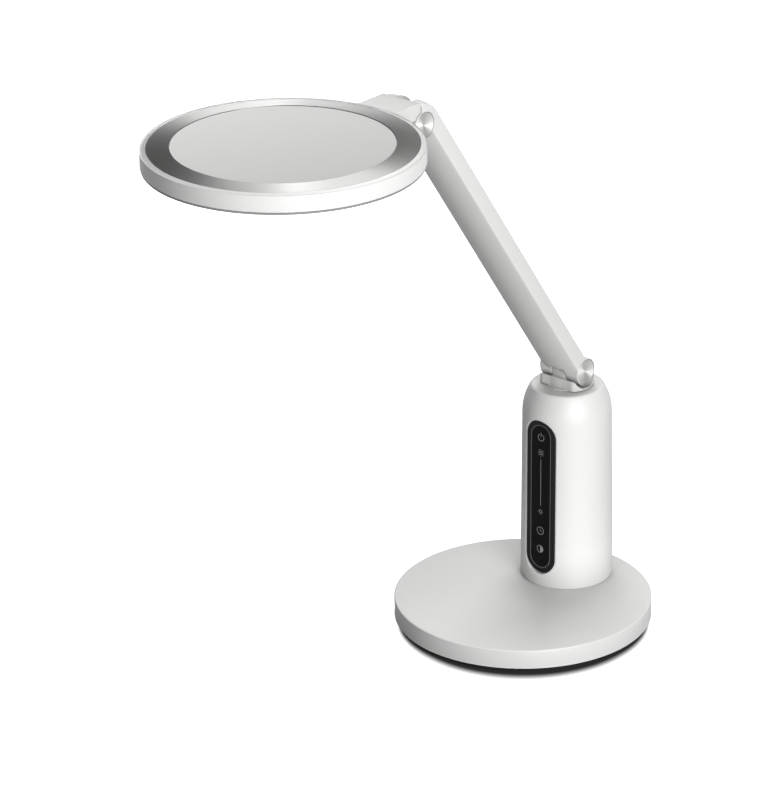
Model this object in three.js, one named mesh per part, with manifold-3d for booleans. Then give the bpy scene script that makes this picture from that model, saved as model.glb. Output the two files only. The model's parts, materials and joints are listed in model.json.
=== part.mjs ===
// Led desk lamp: a weighted round base, a touch column, a swing arm and a round light head.
// Millimetres, +Z up. The origin is the middle of the base's underside and the lamp faces -Y.

import * as THREE from 'three';
import { mergeVertices } from 'three/addons/utils/BufferGeometryUtils.js';
import Module from 'manifold-3d';

const wasm = await Module();
wasm.setup();

// Clearances: fixed neighbours, pieces that turn past each other, cutters past a face, joined laps
const seatGap = 0.3;
const runGap = 0.4;
const overrun = 1;
const weld = 0.8;

// Flats round a circle
const discSides = 48;
const columnSides = 36;
const hingeSides = 20;
const boltSides = 10;
const screwSides = 8;

// Base cover: a shallow inverted dish
const baseRadius = 100;
const baseTop = 19.6;
const skirtLift = 4.7;
const skirtDraft = 0.3;
const baseEdge = 1.1;
const coverWall = 2.4;
const cableHoleRadius = 9;

// Bottom tray with its foam foot and the weight that lies in it
const plateGap = 0.6;
const plateThickness = 6.5;
const trayRim = 13;
const trayFloor = 3;
const footMargin = 16;
const footThickness = 2.3;
const footRecess = 1.5;
const weightThickness = 9;

// Screws of the tray and of the column's foot
const baseScrewCount = 4;
const baseBossRadius = 3.5;
const baseBossMargin = 1.5;
const baseScrewRadius = 1.5;
const baseScrewHead = 2.8;
const baseScrewHeadHeight = 2;
const baseScrewLength = 11;
const columnScrewCount = 3;
const columnBossRadius = 4;
const columnBossHeight = 10;
const columnScrewRadius = 2;
const columnScrewHead = 3.4;
const columnScrewHeadHeight = 2.2;
const columnScrewReach = 8;

// Power inlet in the back of the base
const jackWidth = 9;
const jackHeight = 8.6;
const jackDepth = 13;
const jackNoseRadius = 4;
const jackBoreRadius = 3.1;
const jackBoreDepth = 9.5;
const jackPinRadius = 1.05;
const jackSetback = 0.6;

// Column: a tapered tube with a rounded shoulder under a flat top
const columnMargin = 45.5;
const shoulderHeight = 22.8;
const columnFootRadius = 36;
const columnWaistRadius = 34.65;
const shoulderOverlap = 2.3;
const shoulderRadius = 42;
const shoulderSteps = 5;
const topFlatRadius = 27.2;
const topEdge = 0.7;
const footGroove = 0.5;
const footGrooveHeight = 0.6;
const columnWall = 2.6;
const columnRoof = 3.5;

// Touch panel: a flat black frame with a rebate that holds a flat black lens, sunk in a pocket of the column
const panelWidth = 28;
const panelHeight = 128.8;
const panelFoot = 29.5;
const panelReach = 32.6;
const pocketWall = 2;
const bevelDepth = 0.4;
const frameWidth = 4.2;
const rebateWidth = 1.6;
const rebateThickness = 1;
const lensThickness = 1.8;
const windowBevel = 0.9;
const panelEndSteps = 9;

// Boards inside the column
const boardThickness = 1.6;
const touchBoardWidth = 34;
const touchBoardMargin = 6.1;
const touchBoardReach = 26.5;
const touchSpringRadius = 3;
const touchKeyShares = [0.39, 0.15, -0.22, -0.345];
const driverBoardWidth = 42;
const driverBoardHeight = 84;
const driverBoardReach = 20;
const capacitorRadius = 5;
const capacitorHeight = 13;
const chokeSize = 11;
const chokeDepth = 7;
const ribThickness = 3;
const boardScrewRadius = 1.2;
const boardScrewHead = 2.2;
const boardScrewHeadHeight = 1.4;
const boardScrewReach = 3;
const boardScrewInset = 6;

// Swivel in the column's top
const topPlateRadius = 23;
const topPlateThickness = 3;
const topScrewCircle = 18.5;
const topScrewCount = 3;
const shaftRadius = 4.5;
const shaftBore = 2.8;
const shaftTail = 17;
const shaftGrip = 5;
const bushWall = 1.9;
const bushFlangeRadius = 11.5;
const bushFlangeHeight = 1.2;
const padWasherRadius = 16;
const padWasherThickness = 0.4;
const waveWasherThickness = 0.8;
const swivelNutRadius = 9.5;
const swivelNutHeight = 5;

// Saddle bracket on the column, with the arm's lower knuckle
const lowerHingeRise = 13.8;
const saddleRadius = 20.6;
const saddleFront = 13.4;
const saddleCorner = 4;
const saddleRise = 8.5;
const saddleFloor = 0.8;
const pocketRadius = 13.2;

// Hinges: a knuckle between two tines, clamped by a bolt under turned caps
const armHalfWidth = 18.5;
const slotHalfWidth = 6.8;
const knuckleHalfWidth = 6;
const knuckleRadius = 10.2;
const barrelRadius = 10.8;
const capRim = 0.6;
const capThickness = 1.6;
const capSunk = 0.3;
const capDish = 0.5;
const boltRadius = 3;
const boltHeadRadius = 5.4;
const boltHeadHeight = 3.4;
const nutHeight = 3.6;
const nutRadius = 5.4;
const frictionWasherRadius = 9.2;
const frictionWasherThickness = 0.5;

// Arm: a lens-shaped tube with a fork plugged into each end
const armLean = 35;
const armReach = 315;
const upperHingeOffset = 9.4;
const armSide = 12;
const armFrontBulge = 4;
const armBackBulge = 2.2;
const armWall = 2;
const lowerSeam = 12;
const upperSeam = 14;
const plugLength = 18;
const bulgeSteps = 6;
const crownSteps = 7;

// Neck between the upper hinge and the head
const headTilt = 0;
const headReach = 130.4;
const headRise = 18.9;
const neckHalfWidth = 17.7;
const neckDrop = 1.2;
const neckHeight = 11.7;
const neckSetback = 3.4;
const gussetAngle = 30;
const neckScrewSpacing = 20;
const neckScrewRadius = 1.1;
const neckScrewHead = 1.5;
const neckScrewHeadHeight = 1.6;
const neckScrewReach = 9;

// Head rim: an outer wall with a lip on top, a ledge and an inner skirt
const headRadius = 99.6;
const rimHeight = 12.7;
const rimEdge = 0.7;
const rimWall = 2.4;
const lipWidth = 4.2;
const lipThickness = 1.6;
const ledgeReach = 7.6;
const ledgeThickness = 1;
const skirtWall = 1.5;
const skirtDepth = 3.3;

// Head covers and light unit, from the top down
const trimRingReach = 20.7;
const trimRingDrop = 0.3;
const trimRingRise = 1.1;
const trimRingThickness = 1.3;
const coverStep = 0.2;
const coverPlate = 2;
const coverFlange = 1.6;
const backPlateThickness = 1.5;
const sheetThickness = 0.5;
const ledStripThickness = 0.9;
const ledCount = 24;
const ledLength = 4;
const ledDepth = 0.9;
const ledHeight = 2.2;
const guideThickness = 3;
const diffuserThickness = 1.5;
const bezelThickness = 1.5;
const bezelWidth = 6;
const bezelUpstand = 0.9;

// Finishes
const materials = {
  satinSilver: new THREE.MeshStandardMaterial({ color: 0xd2d2d0, roughness: 0.45, metalness: 0.35 }),
  whiteGloss: new THREE.MeshStandardMaterial({ color: 0xeeeeec, roughness: 0.3, metalness: 0 }),
  silverPaint: new THREE.MeshStandardMaterial({ color: 0xc9c9c7, roughness: 0.45, metalness: 0.3 }),
  turnedMetal: new THREE.MeshStandardMaterial({ color: 0xb9b9b7, roughness: 0.25, metalness: 1 }),
  matteWhite: new THREE.MeshStandardMaterial({ color: 0xdededc, roughness: 0.6, metalness: 0 }),
  blackPlastic: new THREE.MeshStandardMaterial({ color: 0x1c1c1c, roughness: 0.5, metalness: 0 }),
  blackGlass: new THREE.MeshStandardMaterial({ color: 0x0b0b0b, roughness: 0.12, metalness: 0 }),
  foam: new THREE.MeshStandardMaterial({ color: 0x202020, roughness: 0.9, metalness: 0 }),
  steel: new THREE.MeshStandardMaterial({ color: 0x8f9194, roughness: 0.35, metalness: 1 }),
  nylon: new THREE.MeshStandardMaterial({ color: 0xe8e6de, roughness: 0.6, metalness: 0 }),
  circuitBoard: new THREE.MeshStandardMaterial({ color: 0x1f5b3a, roughness: 0.6, metalness: 0 }),
  aluminium: new THREE.MeshStandardMaterial({ color: 0xb4b6b8, roughness: 0.4, metalness: 1 }),
  acrylic: new THREE.MeshStandardMaterial({ color: 0xe6eef0, roughness: 0.1, metalness: 0 }),
  opal: new THREE.MeshStandardMaterial({ color: 0xf4f4f0, roughness: 0.5, metalness: 0 }),
};

// Signed volume of a merged triangle list: negative when its faces point inwards
function signedVolume(positions, corners) {
  const a = new THREE.Vector3();
  const b = new THREE.Vector3();
  const c = new THREE.Vector3();
  let total = 0;
  for (let i = 0; i < corners.length; i += 3) {
    a.fromArray(positions, 3 * corners[i]);
    b.fromArray(positions, 3 * corners[i + 1]);
    c.fromArray(positions, 3 * corners[i + 2]);
    total += a.dot(b.cross(c));
  }
  return total;
}

// A closed geometry becomes a solid that can be joined and cut
function solidOf(geometry) {
  const bare = geometry.clone();
  bare.deleteAttribute('normal');
  bare.deleteAttribute('uv');
  const merged = mergeVertices(bare);
  const positions = merged.attributes.position.array;
  const corners = [];
  for (let i = 0; i < merged.index.count; i += 3) {
    const [a, b, c] = [0, 1, 2].map((k) => merged.index.getX(i + k));
    if (a !== b && b !== c && c !== a) corners.push(a, b, c);
  }
  if (signedVolume(positions, corners) < 0) corners.reverse();
  const mesh = new wasm.Mesh({
    numProp: 3,
    vertProperties: new Float32Array(positions),
    triVerts: new Uint32Array(corners),
  });
  return new wasm.Manifold(mesh);
}

// A solid back to a geometry
function geometryOf(solid) {
  const mesh = solid.getMesh();
  const geometry = new THREE.BufferGeometry();
  geometry.setAttribute('position', new THREE.BufferAttribute(mesh.vertProperties, 3));
  geometry.setIndex(new THREE.BufferAttribute(mesh.triVerts, 1));
  geometry.computeVertexNormals();
  return geometry;
}

// Joins a list of solids
function join(solids) {
  return solids.reduce((whole, piece) => whole.add(piece));
}

// Cuts a list of solids out of one
function cut(solid, cutters) {
  return cutters.reduce((rest, cutter) => rest.subtract(cutter), solid);
}

// Places of copies at equal steps round the Z axis: [x, y, angle]
function aroundCircle(count, radius, startDegrees) {
  return Array.from({ length: count }, (unused, i) => {
    const angle = THREE.MathUtils.degToRad(startDegrees + (360 * i) / count);
    return [radius * Math.cos(angle), radius * Math.sin(angle), angle];
  });
}

// A profile of [radius, height] points turned round the Z axis
function revolveGeometry(profile, sides) {
  const points = profile.map(([radius, height]) => new THREE.Vector2(radius, height));
  return new THREE.LatheGeometry(points, sides).rotateX(Math.PI / 2);
}

function revolve(profile, sides) {
  return solidOf(revolveGeometry(profile, sides));
}

// A closed [radius, height] loop that doesn't touch the axis
function revolveLoop(profile, sides) {
  return revolve([...profile, profile[0]], sides);
}

// A flat ring between two radii and two heights
function ring(innerRadius, outerRadius, bottom, top, sides) {
  return revolveLoop([[innerRadius, bottom], [outerRadius, bottom], [outerRadius, top], [innerRadius, top]],
    sides);
}

// An upright cylinder from one height to another
function post(radius, bottom, top, sides, x = 0, y = 0) {
  const profile = [[0, bottom], [radius, bottom], [radius, top], [0, top]];
  return solidOf(revolveGeometry(profile, sides).translate(x, y, 0));
}

// A profile of [radius, along] points turned round an axis along X
function turnedAlongX(profile, sides, y = 0, z = 0) {
  return solidOf(revolveGeometry(profile, sides).rotateY(Math.PI / 2).translate(0, y, z));
}

// A cylinder along X
function barrel(radius, left, right, sides, y = 0, z = 0) {
  return turnedAlongX([[0, left], [radius, left], [radius, right], [0, right]], sides, y, z);
}

// A cylinder along Y
function barrelAlongY(radius, front, back, sides, x, z) {
  const profile = [[0, front], [radius, front], [radius, back], [0, back]];
  return solidOf(revolveGeometry(profile, sides).rotateX(-Math.PI / 2).translate(x, 0, z));
}

// A box between two corners
function block(low, high) {
  const size = high.map((value, axis) => value - low[axis]);
  const middle = high.map((value, axis) => (value + low[axis]) / 2);
  return solidOf(new THREE.BoxGeometry(...size).translate(...middle));
}

// An outline of [x, y] points drawn up the Z axis
function prismGeometry(outline, bottom, top) {
  const shape = new THREE.Shape(outline.map(([x, y]) => new THREE.Vector2(x, y)));
  const options = { depth: top - bottom, bevelEnabled: false };
  return new THREE.ExtrudeGeometry(shape, options).translate(0, 0, bottom);
}

function prism(outline, bottom, top) {
  return solidOf(prismGeometry(outline, bottom, top));
}

// An outline of [y, z] points drawn along X
function prismAlongX(outline, left, right) {
  return solidOf(prismGeometry(outline, left, right).rotateY(Math.PI / 2).rotateX(Math.PI / 2));
}

// Points of an arc, both ends included
function arcPoints(centreX, centreY, radiusX, radiusY, startDegrees, endDegrees, steps) {
  return Array.from({ length: steps + 1 }, (unused, i) => {
    const angle = THREE.MathUtils.degToRad(startDegrees + ((endDegrees - startDegrees) * i) / steps);
    return [centreX + radiusX * Math.cos(angle), centreY + radiusY * Math.sin(angle)];
  });
}

// A screw along Z: its head stands on height zero and its shank hangs below
function screwProfile(shankRadius, headRadius, headHeight, reach) {
  return [[0, -reach], [shankRadius, -reach], [shankRadius, 0], [headRadius, 0], [headRadius, headHeight],
    [0, headHeight]];
}

// A screw driven upwards from a seat
function screwUp(profile, x, y, seat) {
  return solidOf(revolveGeometry(profile, screwSides).rotateX(Math.PI).translate(x, y, seat));
}

function addPart(parent, name, solid, material) {
  const mesh = new THREE.Mesh(geometryOf(solid), material);
  mesh.name = name;
  parent.add(mesh);
}

// Copies of one piece, numbered from 1
function addCopies(parent, name, solids, material) {
  solids.forEach((solid, i) => addPart(parent, `${name}_${i + 1}`, solid, material));
}

const lamp = new THREE.Group();

// Levels and circles that several pieces share: the column is as tall as its panel needs
const panelMiddle = panelFoot + panelHeight / 2;
const shoulderStart = panelFoot + panelHeight - shoulderOverlap;
const columnTop = shoulderStart + shoulderHeight;
const panelTilt = Math.atan((columnFootRadius - columnWaistRadius) / (shoulderStart - baseTop));
const plateBottom = footThickness - footRecess;
const plateTop = plateBottom + plateThickness;
const plateRadius = baseRadius - coverWall - plateGap;
const footRadius = baseRadius - footMargin;
const columnSetback = baseRadius - columnMargin;
const trayRadius = plateRadius - trayRim;
const weightBottom = plateBottom + trayFloor;
const weightTop = weightBottom + weightThickness;
const roofUnderside = baseTop - coverWall;
const baseBossPlaces = aroundCircle(baseScrewCount, plateRadius - baseBossRadius - baseBossMargin, 45);
const columnFootInner = columnFootRadius - columnWall;
const columnBossPlaces = aroundCircle(columnScrewCount, columnFootInner - columnBossRadius + weld, -90);
const jackLevel = plateTop + jackHeight / 2;
const jackFace = baseRadius - skirtDraft - coverWall - seatGap;

function makeBaseCover() {
  const edgeRadius = baseRadius - skirtDraft - baseEdge;
  const edge = arcPoints(edgeRadius, baseTop - baseEdge, baseEdge, baseEdge, 0, 90, 2);
  const dish = revolve([[0, roofUnderside], [baseRadius - skirtDraft - coverWall, roofUnderside],
    [baseRadius - coverWall, skirtLift], [baseRadius, skirtLift], ...edge, [0, baseTop]], discSides);
  const bosses = baseBossPlaces.map(([x, y]) => (
    post(baseBossRadius, plateTop, roofUnderside + weld, boltSides, x, y)));
  const standOffs = columnBossPlaces.map(([x, y]) => (
    post(columnBossRadius, weightTop, roofUnderside + weld, boltSides, x, y + columnSetback)));
  const bossHoles = baseBossPlaces.map(([x, y]) => (
    post(baseScrewRadius + seatGap, plateTop - overrun, roofUnderside, boltSides, x, y)));
  const columnHoles = columnBossPlaces.map(([x, y]) => (
    post(columnScrewRadius + seatGap, weightTop - overrun, baseTop + overrun, boltSides, x, y + columnSetback)));
  const cableHole = post(cableHoleRadius, roofUnderside - overrun, baseTop + overrun, hingeSides, 0,
    columnSetback);
  const jackHole = barrelAlongY(jackNoseRadius + seatGap, jackFace - overrun, baseRadius + overrun, hingeSides,
    0, jackLevel);
  const cover = cut(join([dish, ...bosses, ...standOffs]), [...bossHoles, ...columnHoles, cableHole, jackHole]);
  addPart(lamp, 'base_cover', cover, materials.satinSilver);
}

function makeTray() {
  const screwSeat = plateBottom + baseScrewHeadHeight + runGap;
  const holes = baseBossPlaces.flatMap(([x, y]) => [
    post(baseScrewRadius + seatGap, plateBottom - overrun, plateTop + overrun, boltSides, x, y),
    post(baseScrewHead + seatGap, plateBottom - overrun, screwSeat, boltSides, x, y),
  ]);
  const well = post(trayRadius, weightBottom, plateTop + overrun, discSides);
  const footSeat = post(footRadius + seatGap, plateBottom - overrun, footThickness, discSides);
  const tray = cut(post(plateRadius, plateBottom, plateTop, discSides), [...holes, well, footSeat]);
  addPart(lamp, 'bottom_tray', tray, materials.blackPlastic);

  const profile = screwProfile(baseScrewRadius, baseScrewHead, baseScrewHeadHeight, baseScrewLength);
  const screws = baseBossPlaces.map(([x, y]) => screwUp(profile, x, y, screwSeat));
  addCopies(lamp, 'tray_screw', screws, materials.steel);
  addPart(lamp, 'foot_pad', post(footRadius, 0, footThickness, discSides), materials.foam);
}

function makeWeight() {
  const screwSeat = weightBottom + columnScrewHeadHeight + runGap;
  const holes = columnBossPlaces.flatMap(([x, y]) => [
    post(columnScrewRadius + seatGap, weightBottom - overrun, weightTop + overrun, boltSides, x,
      y + columnSetback),
    post(columnScrewHead + seatGap, weightBottom - overrun, screwSeat, boltSides, x, y + columnSetback),
  ]);
  const weight = cut(post(trayRadius - seatGap, weightBottom, weightTop, discSides), holes);
  addPart(lamp, 'base_weight', weight, materials.steel);

  const screwLength = baseTop + columnScrewReach - screwSeat;
  const profile = screwProfile(columnScrewRadius, columnScrewHead, columnScrewHeadHeight, screwLength);
  const screws = columnBossPlaces.map(([x, y]) => screwUp(profile, x, y + columnSetback, screwSeat));
  addCopies(lamp, 'column_screw', screws, materials.steel);
}

function makeJack() {
  const noseEnd = baseRadius - jackSetback;
  const boreEnd = noseEnd - jackBoreDepth;
  const body = block([-jackWidth / 2, jackFace - jackDepth, plateTop],
    [jackWidth / 2, jackFace, plateTop + jackHeight]);
  const nose = barrelAlongY(jackNoseRadius, jackFace - weld, noseEnd, hingeSides, 0, jackLevel);
  const bore = barrelAlongY(jackBoreRadius, boreEnd, noseEnd + overrun, hingeSides, 0, jackLevel);
  const pin = barrelAlongY(jackPinRadius, boreEnd - weld, noseEnd - jackSetback, boltSides, 0, jackLevel);
  addPart(lamp, 'dc_jack', body.add(nose).subtract(bore).add(pin), materials.blackPlastic);
}

// The column stands on the base, behind its middle
const column = new THREE.Group();
column.position.set(0, columnSetback, 0);
lamp.add(column);

const roofInside = columnTop - columnRoof;
const frameThickness = lensThickness + seatGap + rebateThickness;
const touchBoardHeight = panelHeight - 2 * touchBoardMargin;

// The shoulder's arc, drawn in by an inset, up to the height that the outside reaches at top
function shoulderProfile(inset, top) {
  const arcRadius = shoulderRadius - inset;
  const endAngle = THREE.MathUtils.radToDeg(Math.asin((top - shoulderStart) / shoulderRadius));
  return arcPoints(columnWaistRadius - shoulderRadius, shoulderStart, arcRadius, arcRadius, 0, endAngle,
    shoulderSteps);
}

// The solid inside of the column's surface, drawn in by an inset
function columnCore(inset) {
  const shoulder = shoulderProfile(inset, columnTop - topEdge);
  const [, end] = shoulder[shoulderSteps];
  return revolve([[0, baseTop], [columnFootRadius - inset, baseTop], ...shoulder, [0, end]], columnSides);
}

// A stadium-shaped prism that points forwards through the window, square to the column's sloping wall, between
// two distances from the axis at its middle
function panelPrism(width, height, near = columnFootRadius / 2, far = columnFootRadius + overrun) {
  const radius = width / 2;
  const straight = height / 2 - radius;
  const outline = [...arcPoints(0, straight, radius, radius, 0, 180, panelEndSteps),
    ...arcPoints(0, -straight, radius, radius, 180, 360, panelEndSteps)];
  const geometry = prismGeometry(outline, near - panelReach, far - panelReach);
  return solidOf(geometry.rotateX(Math.PI / 2 - panelTilt).translate(0, -panelReach, panelMiddle));
}

// Two screws of a board, at opposite corners: [x, z]
function boardScrewPlaces(width, height) {
  return [-1, 1].map((side) => [
    side * (width / 2 - ribThickness / 2),
    panelMiddle + side * (height / 2 - boardScrewInset),
  ]);
}

const touchScrewPlaces = boardScrewPlaces(touchBoardWidth, touchBoardHeight);
const driverScrewPlaces = boardScrewPlaces(driverBoardWidth, driverBoardHeight);
const boardHoleRadius = boardScrewRadius + seatGap;
const topScrewPlaces = aroundCircle(topScrewCount, topScrewCircle, 30);
const bushRadius = shaftRadius + runGap + bushWall;

// Pairs of upright ribs that carry a board by its edges
function boardRibs(width, height, near, far) {
  return [-width / 2, width / 2 - ribThickness].map((left) => (
    block([left, near, panelMiddle - height / 2], [left + ribThickness, far, panelMiddle + height / 2])));
}

function makeColumnShell() {
  const outer = [[columnFootRadius - footGroove, baseTop],
    [columnFootRadius - footGroove, baseTop + footGrooveHeight], [columnFootRadius, baseTop + footGrooveHeight],
    ...shoulderProfile(0, columnTop - topEdge), [topFlatRadius, columnTop]];
  const roof = shoulderProfile(columnWall, roofInside);
  const [roofRadius] = roof[shoulderSteps];
  const inner = [[columnFootInner, baseTop], ...roof, [roofRadius, roofInside]];
  const holeRadius = bushRadius + seatGap;
  const tube = revolveLoop([...outer, [holeRadius, columnTop], [holeRadius, roofInside], ...inner.reverse()],
    columnSides);

  const footBosses = columnBossPlaces.map(([x, y]) => (
    post(columnBossRadius, baseTop, baseTop + columnBossHeight, boltSides, x, y)));
  const ribs = [
    ...boardRibs(touchBoardWidth, touchBoardHeight, -columnFootRadius, -touchBoardReach),
    ...boardRibs(driverBoardWidth, driverBoardHeight, driverBoardReach, columnFootRadius),
  ];
  const pocket = panelPrism(panelWidth + 2 * pocketWall, panelHeight + 2 * pocketWall,
    panelReach - frameThickness);
  const fittings = join([...footBosses, ...ribs, pocket]).intersect(columnCore(columnWall / 2));

  const footHoles = columnBossPlaces.map(([x, y]) => (
    post(columnScrewRadius + seatGap, baseTop - overrun, baseTop + columnScrewReach + seatGap, boltSides, x, y)));
  const touchHoles = touchScrewPlaces.map(([x, z]) => (
    barrelAlongY(boardHoleRadius, -touchBoardReach - boardScrewReach - seatGap, -touchBoardReach + overrun,
      boltSides, x, z)));
  const driverHoles = driverScrewPlaces.map(([x, z]) => (
    barrelAlongY(boardHoleRadius, driverBoardReach - overrun, driverBoardReach + boardScrewReach + seatGap,
      boltSides, x, z)));
  const topHoles = topScrewPlaces.map(([x, y]) => (
    post(boardHoleRadius, roofInside - overrun, roofInside + boardScrewReach, boltSides, x, y)));
  const bevel = panelPrism(panelWidth + 2 * windowBevel, panelHeight + 2 * windowBevel)
    .subtract(columnCore(bevelDepth));
  const shell = cut(tube.add(fittings), [panelPrism(panelWidth, panelHeight), bevel, ...footHoles, ...touchHoles,
    ...driverHoles, ...topHoles]);
  addPart(column, 'column_shell', shell, materials.whiteGloss);
}

function makePanel() {
  const outerWidth = panelWidth - 2 * seatGap;
  const outerHeight = panelHeight - 2 * seatGap;
  const lensWidth = panelWidth - 2 * frameWidth;
  const lensHeight = panelHeight - 2 * frameWidth;
  const lensBack = panelReach - lensThickness;
  const frame = cut(panelPrism(outerWidth, outerHeight, panelReach - frameThickness, panelReach), [
    panelPrism(lensWidth - 2 * rebateWidth, lensHeight - 2 * rebateWidth),
    panelPrism(lensWidth + 2 * seatGap, lensHeight + 2 * seatGap, lensBack - seatGap),
  ]);
  addPart(column, 'panel_frame', frame, materials.blackPlastic);
  addPart(column, 'touch_lens', panelPrism(lensWidth, lensHeight, lensBack, panelReach), materials.blackGlass);
}

// A screw driven along Y into a rib: direction is -1 towards the front
function boardScrew(x, z, seat, direction) {
  const profile = screwProfile(boardScrewRadius, boardScrewHead, boardScrewHeadHeight,
    boardThickness + boardScrewReach);
  const geometry = revolveGeometry(profile, screwSides).rotateX((direction * Math.PI) / 2);
  return solidOf(geometry.translate(x, seat, z));
}

function makeBoards() {
  const touchBack = -touchBoardReach + boardThickness;
  const touchCard = block([-touchBoardWidth / 2, -touchBoardReach, panelMiddle - touchBoardHeight / 2],
    [touchBoardWidth / 2, touchBack, panelMiddle + touchBoardHeight / 2]);
  const touchBores = touchScrewPlaces.map(([x, z]) => (
    barrelAlongY(boardHoleRadius, -touchBoardReach - overrun, touchBack + overrun, boltSides, x, z)));
  const springs = touchKeyShares.map((share) => {
    const height = share * panelHeight;
    const springEnd = height * Math.tan(panelTilt) - panelReach + lensThickness + 2 * seatGap;
    const springMiddle = (springEnd - touchBoardReach) / 2;
    const profile = [[0, springEnd], [touchSpringRadius, springEnd], [touchSpringRadius / 2, springMiddle],
      [touchSpringRadius, -touchBoardReach + weld], [0, -touchBoardReach + weld]];
    const geometry = revolveGeometry(profile, boltSides).rotateX(-Math.PI / 2);
    return solidOf(geometry.translate(0, 0, panelMiddle + height));
  });
  addPart(column, 'touch_board', cut(join([touchCard, ...springs]), touchBores), materials.circuitBoard);

  const driverFront = driverBoardReach - boardThickness;
  const driverBottom = panelMiddle - driverBoardHeight / 2;
  const driverCard = block([-driverBoardWidth / 2, driverFront, driverBottom],
    [driverBoardWidth / 2, driverBoardReach, panelMiddle + driverBoardHeight / 2]);
  const driverBores = driverScrewPlaces.map(([x, z]) => (
    barrelAlongY(boardHoleRadius, driverFront - overrun, driverBoardReach + overrun, boltSides, x, z)));
  const capacitor = barrelAlongY(capacitorRadius, driverFront - capacitorHeight, driverFront + weld, boltSides,
    0, panelMiddle + 2 * capacitorRadius);
  const choke = block([-chokeSize / 2, driverFront - chokeDepth, panelMiddle - chokeSize],
    [chokeSize / 2, driverFront + weld, panelMiddle]);
  const wireSocket = block([-chokeSize, driverFront - chokeDepth, driverBottom + chokeSize / 2],
    [chokeSize, driverFront + weld, driverBottom + chokeSize]);
  addPart(column, 'driver_board', cut(join([driverCard, capacitor, choke, wireSocket]), driverBores),
    materials.circuitBoard);

  addCopies(column, 'touch_board_screw', touchScrewPlaces.map(([x, z]) => boardScrew(x, z, touchBack, -1)),
    materials.steel);
  addCopies(column, 'driver_board_screw', driverScrewPlaces.map(([x, z]) => boardScrew(x, z, driverFront, 1)),
    materials.steel);
}

const topPlateUnderside = roofInside - topPlateThickness;
const bushUnderside = topPlateUnderside - bushFlangeHeight;
const shaftHole = shaftRadius + runGap;

function makeSwivelSeat() {
  const holes = topScrewPlaces.map(([x, y]) => (
    post(boardHoleRadius, topPlateUnderside - overrun, roofInside + overrun, boltSides, x, y)));
  const plate = ring(bushRadius + seatGap, topPlateRadius, topPlateUnderside, roofInside, hingeSides);
  addPart(column, 'top_plate', cut(plate, holes), materials.steel);

  const profile = screwProfile(boardScrewRadius, boardScrewHead, boardScrewHeadHeight,
    topPlateThickness + boardScrewReach - seatGap);
  const screws = topScrewPlaces.map(([x, y]) => screwUp(profile, x, y, topPlateUnderside));
  addCopies(column, 'top_plate_screw', screws, materials.steel);

  const bush = revolveLoop([[shaftHole, bushUnderside], [bushFlangeRadius, bushUnderside],
    [bushFlangeRadius, topPlateUnderside], [bushRadius, topPlateUnderside], [bushRadius, columnTop],
    [shaftHole, columnTop]], hingeSides);
  addPart(column, 'swivel_bush', bush, materials.nylon);

  const washer = ring(shaftHole, padWasherRadius, columnTop, columnTop + padWasherThickness, hingeSides);
  addPart(column, 'pad_washer', washer, materials.nylon);
}

// The swivel group stands on the column's flat top and turns round the column's axis
const swivel = new THREE.Group();
swivel.position.set(0, 0, columnTop);
column.add(swivel);

// Saddle outline: a disc with flat front and back and rounded corners, as [x, y] points
function saddleOutline() {
  const cornerCircle = saddleRadius - saddleCorner;
  const cornerY = saddleFront - saddleCorner;
  const cornerX = Math.sqrt(cornerCircle ** 2 - cornerY ** 2);
  const turn = THREE.MathUtils.radToDeg(Math.atan2(cornerY, cornerX));
  const side = (from) => arcPoints(0, 0, saddleRadius, saddleRadius, from - turn, from + turn, 6);
  const corner = (signX, signY, from, to) => (
    arcPoints(signX * cornerX, signY * cornerY, saddleCorner, saddleCorner, from, to, 4));
  return [
    ...side(0),
    ...corner(1, 1, turn, 90).slice(1),
    ...corner(-1, 1, 90, 180 - turn),
    ...side(180).slice(1),
    ...corner(-1, -1, 180 + turn, 270).slice(1),
    ...corner(1, -1, 270, 360 - turn).slice(0, -1),
  ];
}

function makeSwivel() {
  const underside = padWasherThickness + seatGap;
  const shaftTop = underside + shaftGrip;
  const plinth = prism(saddleOutline(), underside, saddleRise);
  const knuckle = barrel(knuckleRadius, -knuckleHalfWidth, knuckleHalfWidth, hingeSides, 0, lowerHingeRise);
  const web = block([-knuckleHalfWidth, -knuckleRadius, saddleRise - weld],
    [knuckleHalfWidth, knuckleRadius, lowerHingeRise]);
  const aboveFloor = block([-2 * saddleRadius, -saddleRadius, underside + saddleFloor],
    [2 * saddleRadius, saddleRadius, lowerHingeRise + pocketRadius]);
  const pockets = [[-saddleRadius - overrun, -knuckleHalfWidth], [knuckleHalfWidth, saddleRadius + overrun]]
    .map(([left, right]) => (
      barrel(pocketRadius, left, right, hingeSides, 0, lowerHingeRise).intersect(aboveFloor)));
  const boltBore = barrel(boltRadius + runGap, -saddleRadius, saddleRadius, boltSides, 0, lowerHingeRise);
  const shaftSeat = post(shaftRadius + seatGap, underside - overrun, shaftTop + seatGap, hingeSides);
  const saddle = cut(join([cut(plinth, pockets), knuckle, web]), [boltBore, shaftSeat]);
  addPart(swivel, 'swivel_bracket', saddle, materials.silverPaint);

  addPart(swivel, 'swivel_shaft', ring(shaftBore, shaftRadius, -shaftTail, shaftTop, hingeSides), materials.steel);
  const waveTop = bushUnderside - columnTop - seatGap;
  const waveBottom = waveTop - waveWasherThickness;
  const threadRadius = shaftRadius + seatGap;
  addPart(swivel, 'wave_washer', ring(threadRadius, bushFlangeRadius, waveBottom, waveTop, hingeSides),
    materials.steel);
  const nutBlank = post(swivelNutRadius, waveBottom - swivelNutHeight, waveBottom, 6);
  const nutBore = post(threadRadius, waveBottom - swivelNutHeight - overrun, waveBottom + overrun, hingeSides);
  addPart(swivel, 'swivel_nut', nutBlank.subtract(nutBore), materials.steel);
}

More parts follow.
